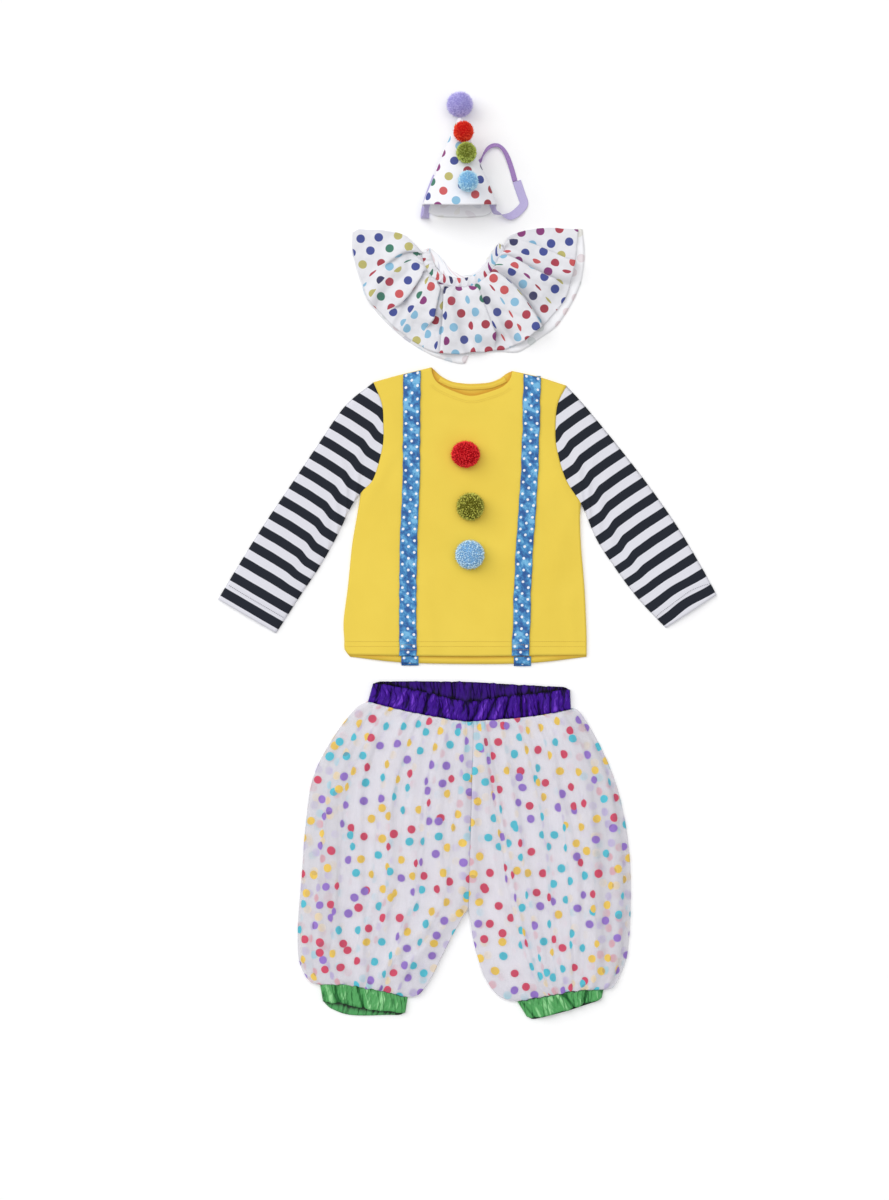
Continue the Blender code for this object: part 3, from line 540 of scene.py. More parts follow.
# %% A finish and its nodes
class Finish:
    """A material with one Principled shader, and one method for every node that isn't maths."""

    def __init__(self, name, colour, **constants):
        self.material = bpy.data.materials.new(name)
        self.material.use_nodes = True
        self.tree = self.material.node_tree
        self.shader = self.tree.nodes["Principled BSDF"]
        put(self.tree, self.shader.inputs["Base Color"], colour)
        for label, value in constants.items():
            put(self.tree, self.shader.inputs[label.replace("_", " ")], value)

    def node(self, kind, settings=None, sockets=None, out=0):
        made = self.tree.nodes.new("ShaderNode" + kind)
        for label, value in (settings or {}).items():
            setattr(made, label, value)
        for label, value in (sockets or {}).items():
            put(self.tree, made.inputs[label], value)
        return Wire(self.tree, made.outputs[out])

    def ramp(self, factor, stops, kind="LINEAR"):
        """Colours that follow one another at places from 0 to 1."""
        made = self.node("ValToRGB", None, {0: factor})
        ramp = made.socket.node.color_ramp
        ramp.interpolation = kind
        while len(ramp.elements) < len(stops):
            ramp.elements.new(1.0)
        for element, (place, colour) in zip(ramp.elements, stops):
            element.position = place
            element.color = opaque(colour)
        return made

    def halves(self, kind, value):
        """The first two parts of a vector or a colour."""
        return [self.node("Separate" + kind, None, {0: value}, out) for out in (0, 1)]

    def mix(self, factor, one, other):
        return self.node("Mix", {"data_type": "RGBA"}, {0: factor, 6: one, 7: other}, out=2)

    def vector(self, x, y, z=0.0):
        return self.node("CombineXYZ", None, {0: x, 1: y, 2: z})

    def cloth(self):
        """The cloth map's two coordinates, in millimetres."""
        return self.halves("XYZ", self.node("UVMap", {"uv_map": "cloth"}))

    def mark(self, label):
        return self.node("Attribute", {"attribute_name": label}, out=2)

    def noise(self, at, scale, detail=2.0, rough=0.5):
        """Cloudy noise at a vector or at a pair of coordinates."""
        if isinstance(at, tuple):
            at = self.vector(*at)
        sockets = {"Vector": at, "Scale": scale, "Detail": detail, "Roughness": rough}
        return self.node("TexNoise", None, sockets)

    def place(self):
        return self.node("TexCoord", out=3)

    def bump(self, height, strength, distance):
        sockets = {"Height": height, "Strength": strength, "Distance": distance}
        self.wire("Normal", self.node("Bump", None, sockets))

    def wire(self, label, value):
        put(self.tree, self.shader.inputs[label], value)

    def colour(self, value):
        self.wire("Base Color", value)

# %% [markdown]
# ## Printed spots
#
# The print is a staggered lattice of round spots. Each cell of the lattice draws a random colour from
# a short list, and can push its spot a little off its place, which is how the spots of the sheer cloth
# lie. The lattice is worked out on the cloth map, so spots bend and narrow with the folds.


# %% Spot lattice
def spots(finish, u, v, across, down, size, wander, shift=(0.0, 0.0), turn=0.0):
    """Mask of round spots, and a random number for each spot. Sizes are millimetres."""
    cos, sin = math.cos(turn), math.sin(turn)
    x = u * cos + v * sin + shift[0]
    y = v * cos - u * sin + shift[1]
    row = (y / down).floor()
    x = x + (row % 2) * (across / 2)
    column = (x / across).floor()
    cell = {"Vector": finish.vector(column + 0.5, row + 0.5, shift[0] + 3.0)}
    chance, jitter = (finish.node("TexWhiteNoise", {}, cell, out) for out in (0, 1))
    push_x, push_y = (part - 0.5 for part in finish.halves("Color", jitter))
    off_x = x - (column + 0.5) * across - push_x * (2 * wander * across / down)
    off_y = y - (row + 0.5) * down - push_y * (2 * wander)
    away = (off_x * off_x + off_y * off_y) ** 0.5
    return away.within(size / 2, 0.5), chance


def palette(finish, chance, colours):
    """One of the colours for each spot."""
    stops = [(place / len(colours), colour) for place, colour in enumerate(colours)]
    return finish.ramp(chance, stops, "CONSTANT")

# %% [markdown]
# ## Cloth, ribbon and yarn finishes
#
# Cotton, felt and jersey are matt with a fine weave or knit; satin and ribbon catch the light along
# their folds; the sheer overlay lets the lining show. The weave is a fine bump, because its threads
# are far thinner than anything the mesh could carry.

# %% White spotted cotton of the ruff and the hat
COTTON_SPOTS = ((24, 26, 84), (40, 58, 140), (128, 182, 212), (156, 24, 46), (196, 70, 72),
                (182, 174, 96), (32, 112, 88), (128, 20, 108), (40, 58, 140), (128, 182, 212),
                (168, 34, 58))


def cotton(name, white, shift, turn, size, across, down, weave):
    finish = Finish(name, white, Roughness=0.85, Specular_IOR_Level=0.25)
    u, v = finish.cloth()
    dots, chance = spots(finish, u, v, across, down, size, 0.6, shift, turn)
    ink = palette(finish, chance, COTTON_SPOTS)
    grain = finish.noise((u, v), 1.4, 3.0)
    ink = finish.mix(grain * 0.12, ink, white)
    strength = dots * finish.mark("side")
    tone = finish.noise((u, v), 0.03)
    base = finish.mix(tone * 0.35, white, [part - 12 for part in white])
    # The wrong side is painted a brighter white than the right side, which stands in for light shining
    # through the thin cloth.
    base = finish.mix(finish.mark("side"), (249, 249, 252), base)
    base = finish.mix(strength, base, ink)
    # Painted shadow: the shade mark greys the cloth beside a pleat's steep side.
    finish.colour(finish.mix(finish.mark("shade") * 0.42, base, (96, 96, 106)))
    threads = u.wave(weave) * v.wave(weave)
    finish.bump(threads * 0.5 + grain, 0.25, 0.00012)
    return finish.material


ruff_cotton = cotton("ruff_cotton", (229, 229, 234), (4.0, 9.0), 0.09, 12.0, 26.6, 18.2, 0.9)
hat_felt = cotton("hat_felt", (239, 239, 244), (11.0, 2.0), -0.30, 12.2, 27.6, 18.8, 0.7)
print("cotton finishes:", ruff_cotton.name, hat_felt.name)


# %% Yellow jersey
def jersey_knit(u, v):
    """Height of a fine plain knit: columns of stitches that lean left and right."""
    wale = u.wave(0.9)
    return wale * 0.6 + (v + wale * 0.15).wave(0.7) * 0.4


finish = Finish("yellow_jersey", (238, 210, 86), Roughness=0.82, Specular_IOR_Level=0.2)
u, v = finish.cloth()
tone = finish.noise((u, v), 0.012, 3.0, 0.55)
base = finish.mix(tone, (238, 210, 86), (228, 198, 74))
# Painted shade: the shade mark turns the jersey orange-brown where it lies in shade.
finish.colour(finish.mix(finish.mark("shade"), base, (206, 142, 42)))
finish.bump(jersey_knit(u, v), 0.2, 0.0001)
yellow_jersey = finish.material

# %% Striped jersey: the stripes go round the sleeve, so they follow the map's second coordinate
STRIPE_PERIOD = 25.4
STRIPE_DARK = 13.0
STRIPE_HEM = 9.0  # white left below the last dark stripe

finish = Finish("striped_jersey", (220, 220, 229), Roughness=0.85, Specular_IOR_Level=0.2)
u, v = finish.cloth()
wave = finish.noise((u, v), 0.05) - 0.5
place = (v + wave * 0.8 - STRIPE_HEM) % STRIPE_PERIOD
from_middle = abs(place - STRIPE_DARK / 2)
dark = from_middle.within(STRIPE_DARK / 2, 0.5) * (1 - v.within(STRIPE_HEM - 1.0, 0.5))
tone = finish.noise((u, v), 0.9, 2.0)
ink = finish.mix(tone, (24, 28, 38), (40, 44, 54))
white = finish.mix(tone, (214, 214, 223), (226, 226, 234))
finish.colour(finish.mix(dark, white, ink))
finish.bump(jersey_knit(u, v), 0.3, 0.00012)
striped_jersey = finish.material

# %% Blue ribbon of the braces: cloudy dye and a row of white spots, two and one in turn
BRACE_WIDTH = 24.0
BRACE_PITCH = 16.4  # from one pair of spots to the next
BRACE_SPOT = 1.85
BRACE_PAIR = 8.1  # half the way between the two spots of a pair
BRACE_DYE = ((0.41, (18, 84, 152)), (0.50, (48, 128, 188)), (0.60, (112, 182, 224)))

finish = Finish("brace_ribbon", (70, 140, 205), Roughness=0.45)
u, v = finish.cloth()
cloud = finish.noise((u * 1.2 + v * 0.3, v), 0.06, 5.0, 0.66)
dye = finish.ramp(cloud, BRACE_DYE, "EASE")
pair_y = abs((v % BRACE_PITCH) - BRACE_PITCH / 2)
pair_x = abs(abs(u) - BRACE_PAIR)
single_y = abs(((v + BRACE_PITCH / 2) % BRACE_PITCH) - BRACE_PITCH / 2)
pair = ((pair_x * pair_x + pair_y * pair_y) ** 0.5).within(BRACE_SPOT, 0.5)
single = ((u * u + single_y * single_y) ** 0.5).within(BRACE_SPOT, 0.5)
edge = 1 - abs(u).within(BRACE_WIDTH / 2 - 0.7, 0.5)
base = finish.mix(edge * 0.5, dye, (64, 104, 172))
finish.colour(finish.mix(pair + single, base, (238, 242, 248)))
crumple = finish.noise((u + v, v * 0.7), 0.22, 3.0, 0.6)
finish.bump(v.wave(0.8) * 0.3 + crumple * 9, 0.6, 0.00022)
brace_ribbon = finish.material


# %% Satin: smooth, with painted shade where a crease goes in and a painted highlight along its crest
def satin(name, colours, roughness, shine, fine):
    """Satin with painted light: a dark colour of painted shade, a middle colour, a bright colour
    of painted highlight, and the colour of its wrong side.
    """
    dark, middle, painted_highlight, inside = colours
    finish = Finish(name, middle, Roughness=roughness, Specular_IOR_Level=shine)
    u, v = finish.cloth()
    tone = finish.mark("tone")
    # The streak and pinch noises shape the bump, and in the colour they are painted reflection streaks and
    # thin painted shade in the pinches.
    streak_and_sheen = finish.noise((u + v * 0.25, v * 0.2), 0.5, 3.0, 0.6)
    pinch = finish.noise((u - v * 0.3, v * 0.3), 0.2, 2.0, 0.5)
    drawn = finish.noise((u + v * 0.15, v * 0.12), 0.1, 1.0, 0.4)
    pinched = abs(drawn - 0.5).within(0.03, 0.05)
    # Painted light on the right side: the tone mark darkens the hollows and brightens the crests.
    level = 0.52 + tone * 0.5 + (streak_and_sheen - 0.5) * fine + (pinch - 0.5) * 1.1 - pinched * 0.3
    right_side = finish.ramp(level, ((0.08, dark), (0.42, middle), (0.70, middle), (1.0, painted_highlight)))
    # Painted shade on the wrong side, towards a darker pit colour where the tone mark is low.
    depth = 0.8 + tone * 0.8 + (streak_and_sheen - 0.5) * 1.2 - pinched * 0.6
    pit_shade = [part * 0.4 for part in dark]
    shaded_hollow = finish.mix(depth.math("ADD", 0.0, clamp=True), pit_shade, inside)
    finish.colour(finish.mix(finish.mark("side"), shaded_hollow, right_side))
    finish.bump(pinch * 1.4 + streak_and_sheen * 0.6 - pinched * 0.7, 0.8, 0.0018)
    return finish.material


# Each: a dark colour of painted shade, a middle one, a bright one of painted highlight, and the wrong
# side's colour.
PURPLES = ((22, 2, 60), (62, 16, 140), (118, 62, 206), (54, 14, 122))
GREENS = ((34, 104, 50), (80, 162, 90), (150, 216, 150), (76, 158, 90))
purple_satin = satin("purple_satin", PURPLES, 0.4, 0.1, 0.9)
green_satin = satin("green_satin", GREENS, 0.36, 0.3, 0.5)
print("satin finishes:", purple_satin.name, green_satin.name)

# %% Trouser lining
finish = Finish("trouser_lining", (238, 237, 243), Roughness=0.8)
u, v = finish.cloth()
grain = finish.noise((u, v), 1.1, 2.0)
tone = finish.noise((u, v), 0.02)
finish.colour(finish.mix(tone, (242, 240, 247), (230, 228, 236)))
finish.bump(grain, 0.2, 0.0001)
trouser_lining = finish.material

# %% Sheer spotted overlay: its alpha lets what is under it show
# Its spots are a loose lattice that is bent a little and a sparse one over it, so that a few touch.
# Where the cloth lies doubled a third one shows through it.
OVERLAY_SPOTS = ((216, 66, 98), (243, 204, 84), (74, 196, 216), (150, 116, 206))
finish = Finish("spotted_overlay", (246, 245, 251), Roughness=0.6, Sheen_Weight=0.2)
u, v = finish.cloth()
bend = finish.noise((u, v), 0.016, 0.0)
turn = finish.noise((u + 300, v), 0.016, 0.0)
first, one = spots(finish, u + bend * 6, v + turn * 6, 28.0, 24.0, 11.5, 6.5, (5.0, 3.0), 0.22)
second, two = spots(finish, u, v, 74.0, 64.0, 11.5, 24.0, (21.0, 11.0), -0.38)
under, three = spots(finish, u, v, 22.0, 19.0, 11.5, 4.0, (17.0, 8.0), -0.35)
dots = first.math("MAXIMUM", second)
doubled = finish.mark("doubled")
tone = finish.noise((u, v), 0.05, 2.0)
ink = finish.mix(second, palette(finish, one, OVERLAY_SPOTS), palette(finish, two, OVERLAY_SPOTS))
ink = finish.mix(tone * 0.2 + under * doubled * 0.35, ink, (104, 76, 100))
ghost = finish.mix(0.5, palette(finish, three, OVERLAY_SPOTS), (236, 234, 242))
base = finish.mix(doubled, (246, 244, 250), (234, 232, 240))
base = finish.mix(under * doubled, base, ghost)
finish.colour(finish.mix(dots, base, ink))
crinkle = finish.noise((u, v * 0.16), 0.42, 3.0, 0.6)
threads = u.wave(0.9) * v.wave(0.9)
finish.bump(threads * 0.15 + crinkle * 3, 0.5, 0.0004)
weave = finish.noise((u, v), 0.8, 2.0, 0.7)
finish.wire("Alpha", 0.22 + weave * 0.16 + dots * 0.5 + doubled * (0.3 + under * 0.2))
spotted_overlay = finish.material


# %% Ribbon and elastic of the chin strap
def trim(name, deep, light, roughness, pitch):
    finish = Finish(name, light, Roughness=roughness)
    u, v = finish.cloth()
    grain = finish.noise((u, v), 0.6, 2.0)
    finish.colour(finish.mix(grain, deep, light))
    finish.bump(v.wave(pitch) * u.wave(pitch), 0.4, 0.0002)
    return finish.material


lilac_ribbon = trim("lilac_ribbon", (178, 166, 214), (200, 190, 232), 0.45, 0.9)
chin_elastic = trim("chin_elastic", (136, 98, 168), (182, 148, 208), 0.6, 1.1)


# %% Yarn: painted shade at the root between the tufts, lit tips, and no two tufts alike
def yarn(name, deep, light, centre):
    finish = Finish(name, light, Roughness=0.95, Specular_IOR_Level=0.1)
    grain = finish.noise(finish.place(), 900.0, 3.0, 0.7)
    # Painted shade: the tip mark darkens the yarn towards the core, between the tufts.
    depth = finish.mark("tip") * (0.35 + finish.mark("tone") * 0.9)
    colour = finish.mix(depth * (0.6 + grain * 0.8), deep, light)
    colour = finish.mix(finish.mark("face") * (0.4 + grain), colour, centre)
    finish.colour(colour)
    finish.bump(grain, 0.5, 0.0004)
    return finish.material


def thread(name, colour):
    finish = Finish(name, colour, Roughness=0.6)
    grain = finish.noise(finish.place(), 3000.0, 2.0)
    finish.colour(finish.mix(grain * 0.5, colour, [part * 0.7 for part in colour]))
    return finish.material


YARNS = {
    # deep is painted shade between the tufts, light the lit tips, and the last the colour of the ball's
    # top
    "lilac_yarn": ((166, 158, 224), (216, 210, 252), (184, 177, 236)),
    "hat_red_yarn": ((214, 14, 20), (250, 88, 58), (208, 4, 24)),
    "hat_green_yarn": ((108, 118, 36), (206, 220, 112), (98, 104, 28)),
    "hat_blue_yarn": ((136, 194, 234), (206, 242, 255), (124, 188, 230)),
    "crimson_yarn": ((178, 2, 20), (255, 66, 70), (206, 8, 30)),
    "olive_yarn": ((92, 90, 16), (210, 210, 98), (112, 112, 30)),
    "sky_yarn": ((134, 188, 228), (214, 240, 254), (152, 202, 238)),
}
YARNS = {name: yarn(name, *colours) for name, colours in YARNS.items()}
YELLOW_THREAD = thread("yellow_thread", (206, 166, 54))
GREY_THREAD = thread("grey_thread", (98, 98, 106))
DARK_THREAD = thread("dark_thread", (62, 34, 92))
print(len(bpy.data.materials), "finishes so far")

# %% [markdown]
# ## Camera, floor and light
#
# The set is laid out like a flat-lay in a catalogue, so the camera looks straight down through a
# medium-long lens. The light is one large soft source from the upper left, a wide fill from the right
# and a pale sky, which leaves soft grey sides on the folds and hardly any shadow on the table.

# %% Camera straight above
CAMERA_AT = (-0.0329, -0.0623, 3.97)
camera_data = bpy.data.cameras.new("camera")
camera_data.lens = 85.0
camera_data.sensor_width = 36.0
camera_data.clip_end = 20.0
camera = add_object("camera", camera_data)
camera.location = CAMERA_AT
bpy.context.scene.camera = camera
view_height = camera_data.sensor_width / camera_data.lens * CAMERA_AT[2]
print(f"view {view_height * FRAME_WIDTH / FRAME_HEIGHT:.3f} x {view_height:.3f} m at the table")

# %% Table
TABLE_REACH = 6.0  # metres
TABLE_DROP = 0.0003
floor_mesh = bpy.data.meshes.new("table")
corners = [(TABLE_REACH * x, TABLE_REACH * y, 0) for x, y in ((-1, -1), (1, -1), (1, 1), (-1, 1))]
floor_mesh.from_pydata(corners, [], [(0, 1, 2, 3)])
table = add_object("table", floor_mesh)
table.location.z = -TABLE_DROP
paper = Finish("paper", (253.3, 253.3, 253.9), Roughness=0.9, Specular_IOR_Level=0.1)
paper_grain = paper.noise(paper.place(), 40.0)
paper.colour(paper.mix(paper_grain, (252.7, 252.7, 253.3), (253.9, 253.9, 254.4)))
floor_mesh.materials.append(paper.material)
table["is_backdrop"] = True

# %% Soft studio light
bpy.context.scene.view_settings.view_transform = "Standard"
sky = bpy.data.worlds.new("studio")
bpy.context.scene.world = sky
sky.use_nodes = True
background = sky.node_tree.nodes["Background"]
background.inputs["Color"].default_value = (1.0, 1.0, 1.0, 1.0)
background.inputs["Strength"].default_value = 0.36
LIGHTS = (
    # name, the side it shines from, strength, how wide it looks in degrees
    ("overhead", (0.05, 0.25, 1.0), 1.12, 60.0),
    ("key", (-1.0, 0.62, 0.88), 1.42, 52.0),
    ("fill", (1.0, -0.5, 1.1), 0.30, 70.0),
)
for name, side, strength, wide in LIGHTS:
    lamp = bpy.data.lights.new(name, "SUN")
    lamp.energy = strength
    lamp.angle = math.radians(wide)
    tilt = math.atan2(math.hypot(*side[:2]), side[2])
    add_object(name, lamp).rotation_euler = (tilt, 0.0, math.atan2(side[0], -side[1]))
print(len(LIGHTS), "soft lights")

# %% [markdown]
# ## Hat
#
# The cone is one piece of felt rolled up and seamed at the back. Lying down, its floor side is pressed
# flat, so its section is a circle with its lowest part cut off, and it shrinks evenly to the tip. The
# cone's cloth map is the rolled-out felt: length round the section one way, slant length the other.

# %% Cone of felt
HAT_X = -11.5
HAT_RIM_Y = 485.0
HAT_RIM_REACH = 11.0
HAT_TIP_Y = 610.0
HAT_HALF_WIDTH = 53.0
HAT_TIP_HALF_WIDTH = 4.0
HAT_HEIGHT = 52.0
HAT_TIP_HEIGHT = 8.5
HAT_TIP_LIFT = 14.0
HAT_FLAT = 0.85  # how far below its middle the round section is cut flat
HAT_RIM_DIP = 3.6  # how far the sides of the rim hang below its middle
HAT_DENT = 0.9


def hat_point(along, turn):
    """A point of the cone: along goes 0 to 1 from rim to tip, turn is the angle round it."""
    half = HAT_HALF_WIDTH + (HAT_TIP_HALF_WIDTH - HAT_HALF_WIDTH) * along
    height = HAT_HEIGHT + (HAT_TIP_HEIGHT - HAT_HEIGHT) * along
    over_floor = np.sin(turn) + HAT_FLAT
    rise = (over_floor + np.sqrt(over_floor**2 + 0.01)) / 2 / (1 + HAT_FLAT)
    under = smooth(np.maximum(-np.sin(turn), 0) / HAT_FLAT)
    reach = (HAT_RIM_REACH * under - HAT_RIM_DIP * np.cos(turn) ** 2) * (1 - along) ** 2
    y = HAT_RIM_Y + (HAT_TIP_Y - HAT_RIM_Y) * along - reach
    return np.stack(np.broadcast_arrays(
        HAT_X + half * np.cos(turn), y, HAT_TIP_LIFT * along + height * rise * 0.995), axis=-1)


along = even(60)[:, None]
turns = np.linspace(-math.pi / 2, 1.5 * math.pi, 128, endpoint=False)[None, :]
outer = hat_point(along, turns)
out = normals(outer, closed=True)
if np.sum(out[..., 2] * np.sin(turns)) < 0:
    out = -out
dent = ripple(turns * 30, along * 120, 5, 70.0) * HAT_DENT * smooth(np.sin(turns) + 0.9)
dent = dent * smooth((1 - along) * 4)
outer = outer + out * (dent - HAT_DENT)[..., None]
cone_map = np.dstack(ring_map(outer, outer.shape[1] // 2))
felt_cone = shell("felt_cone", outer, outer - out * FELT, cone_map, hat_felt, True, (1.0, 0.12))
place_piece(felt_cone, "hat_felt", "hat_cone")

# %% [markdown]
# The chin strap is a flat elastic with a lilac ribbon sewn to each end, and the ribbons are sewn inside
# the rim. Each length is a strip: a centre line with, at each point, the way its width points and how
# far it leans out of the flat. A strip keeps its width as it twists, which a bent rectangle would not.


# %% Strips of ribbon
def strip(name, route, width, thickness, finish, steps=120):
    """A flat strip along a route of x, y, z, the way its width points in plan and its lean."""
    dense = run(route, even(steps))
    centre = dense[:, :3]
    aim, lean = np.radians(dense[:, 3]), np.radians(dense[:, 4])
    span = np.column_stack([np.cos(aim) * np.cos(lean), np.sin(aim) * np.cos(lean), np.sin(lean)])
    facing = unit(np.cross(span, np.gradient(centre, axis=0)))
    sides = np.linspace(-0.5, 0.5, 11)[None, :]
    grid = centre[:, None] + sides[..., None] * width * span[:, None]
    crown = 0.16 * thickness * np.cos(sides * math.pi)
    half = thickness / 2 * np.sqrt(1 - (1.9 * sides) ** 6 * 0.9)
    upper = grid + facing[:, None] * (half + crown)[..., None]
    lower = grid - facing[:, None] * (half - crown)[..., None]
    strip_map = np.dstack(np.broadcast_arrays(sides * width, path_lengths(centre)[:, None]))
    return shell(name, upper, lower, strip_map, finish)


def inside_hat(turn):
    """Route rows of a strip sewn on the inside of the rim, going in, at a turn in degrees."""
    rows = []
    for along in (0.0, 0.08, 0.16):
        low, high = (hat_point(along, math.radians(turn + side)) for side in (-9, 9))
        x, _, z = high - low
        inward = np.array([-z, 0.0, x]) / math.hypot(x, z)
        inward *= np.sign(HAT_X - low[0]) * np.sign(inward[0])
        centre = (low + high) / 2 + inward * (FELT + RIBBON / 2 + 1.9)
        lean = math.degrees(math.atan2(abs(z), abs(x)))
        rows.append((*centre, 0, -lean) if turn < 270 else (*centre, -180, 180 - lean))
    return rows

# %% Chin strap
RIBBON_LEFT = (
    (-59.4, 474.4, 14.6, 0, -48), (-59.7, 472.7, 11.3, 0, -32), (-59.9, 472.1, 7.5, 0, -16),
    (-60.2, 472.1, 4.0, 0, -6), (-60.3, 472.5, 1.9, 0, 0), (-60.4, 474.2, 0.7, 0, 0),
    (-60.2, 479.0, 0.5, 0, 0), (-57.6, 492.0, 0.5, -8, 0), (-51.2, 512.0, 0.5, -14, 0),
    (-43.2, 531.8, 0.5, -18, 0),
)
ELASTIC = (
    (-43.1, 532.1, 0.5, -18, 0), (-37.0, 542.5, 0.5, -38, 0), (-28.0, 550.0, 0.5, -68, 0),
    (-15.0, 552.5, 0.5, -86, 0), (2.0, 551.0, 0.5, -88, 0), (11.0, 550.3, 1.3, -70, 12),
    (16.8, 552.4, 3.2, -45, 45), (20.0, 557.8, 4.1, -30, 76), (23.5, 564.5, 4.0, -33, 62),
    (28.5, 570.6, 3.2, -48, 45), (35.5, 574.4, 3.0, -76, 38), (43.5, 573.8, 3.2, -110, 44),
    (50.8, 566.8, 2.8, -140, 36), (56.8, 554.5, 1.7, -152, 18), (61.6, 540.0, 0.8, -160, 4),
    (65.9, 524.3, 0.5, -162, 0),
)
RIBBON_RIGHT = (
    (68.3, 524.5, 0.5, 18, 0), (72.0, 513.5, 0.5, 19, 0), (75.6, 503.0, 0.5, 19, 0),
    (78.2, 495.6, 0.6, 14, 0), (77.6, 490.6, 0.9, -24, 3), (73.4, 485.0, 1.3, -44, 6),
    (66.0, 478.4, 2.4, -56, 14), (58.4, 474.8, 4.0, -80, 30), (51.2, 475.4, 6.6, -98, 62),
    (46.2, 476.8, 9.4, -108, 88), (41.6, 478.0, 13.0, -124, 104), (37.4, 479.4, 15.9, -152, 116),
)
RIBBON_WIDTH = 12.0
ELASTIC_WIDTH = 7.0
route = inside_hat(198)[::-1] + list(RIBBON_LEFT)
left = strip("chin_ribbon_left", route, RIBBON_WIDTH, RIBBON, lilac_ribbon)
place_piece(left, "lilac_ribbon", "hat_ribbon_left")
middle = strip("chin_elastic_strap", ELASTIC, ELASTIC_WIDTH, RIBBON, chin_elastic, 160)
place_piece(middle, "chin_elastic", "hat_elastic")
route = list(RIBBON_RIGHT) + inside_hat(342)
right = strip("chin_ribbon_right", route, RIBBON_WIDTH, RIBBON, lilac_ribbon)
place_piece(right, "lilac_ribbon", "hat_ribbon_right")

# %% [markdown]
# ## Pompoms
#
# A pompom is a bundle of yarn tied in the middle and trimmed to a ball, so what shows is hundreds of
# cut ends. Geometry Nodes scatter short tufts over a core, each standing out along the core's normal
# with a small random tilt, and finer stray hairs between them. Modelling each tuft by hand would be
# hopeless, and a bump map would leave the outline smooth. The tuft has only a few dozen faces.


# %% A tree of geometry nodes
class Nodes:
    """A geometry tree under construction, with one method for its nodes and one for its inputs."""

    def __init__(self, name):
        self.tree = bpy.data.node_groups.new(name, "GeometryNodeTree")
        self.tree.interface.new_socket("Geometry", in_out="INPUT", socket_type="NodeSocketGeometry")
        self.tree.interface.new_socket("Geometry", in_out="OUTPUT", socket_type="NodeSocketGeometry")
        self.entry = self.tree.nodes.new("NodeGroupInput")
        self.exit = self.tree.nodes.new("NodeGroupOutput")
        self.named = {}

    def ask(self, label, kind):
        item = self.tree.interface.new_socket(label, in_out="INPUT", socket_type="NodeSocket" + kind)
        self.named[label] = item.identifier
        return self.entry.outputs[label]

    def add(self, kind, settings=None, sockets=None, out=0):
        made = self.tree.nodes.new(kind)
        for label, value in (settings or {}).items():
            setattr(made, label, value)
        for label, value in (sockets or {}).items():
            socket = made.inputs[label]
            if isinstance(value, bpy.types.NodeSocket):
                self.tree.links.new(value, socket)
            else:
                socket.default_value = value
        return made.outputs[out]

    def random(self, low, high, seed):
        """A number or a vector drawn for each point, between two values."""
        if isinstance(low, tuple):
            return self.add("FunctionNodeRandomValue", {"data_type": "FLOAT_VECTOR"},
                            {0: low, 1: high, "Seed": seed})
        return self.add("FunctionNodeRandomValue", {"data_type": "FLOAT"},
                        {2: low, 3: high, "Seed": seed}, out=1)

    def turned(self, rotation, angles):
        """A rotation turned further, by angles about its own axes."""
        extra = self.add("FunctionNodeEulerToRotation", None, {0: angles})
        return self.add("FunctionNodeRotateRotation", {"rotation_space": "LOCAL"},
                        {0: rotation, 1: extra})

    def finish(self, geometry, material):
        """Ends the tree: the copies become one mesh, in one material."""
        solid = self.add("GeometryNodeRealizeInstances", None, {0: geometry})
        made = self.add("GeometryNodeSetMaterial", None, {"Geometry": solid, "Material": material})
        self.tree.links.new(made, self.exit.inputs[0])

    def apply(self, piece, **values):
        """Runs the tree on a piece and keeps the result as its plain mesh."""
        modifier = piece.modifiers.new("made", "NODES")
        modifier.node_group = self.tree
        for label, value in values.items():
            modifier[self.named[label.replace("_", " ")]] = value
        graph = bpy.context.evaluated_depsgraph_get()
        result = bpy.data.meshes.new_from_object(piece.evaluated_get(graph))
        piece.modifiers.clear()
        piece.data = result
        return piece


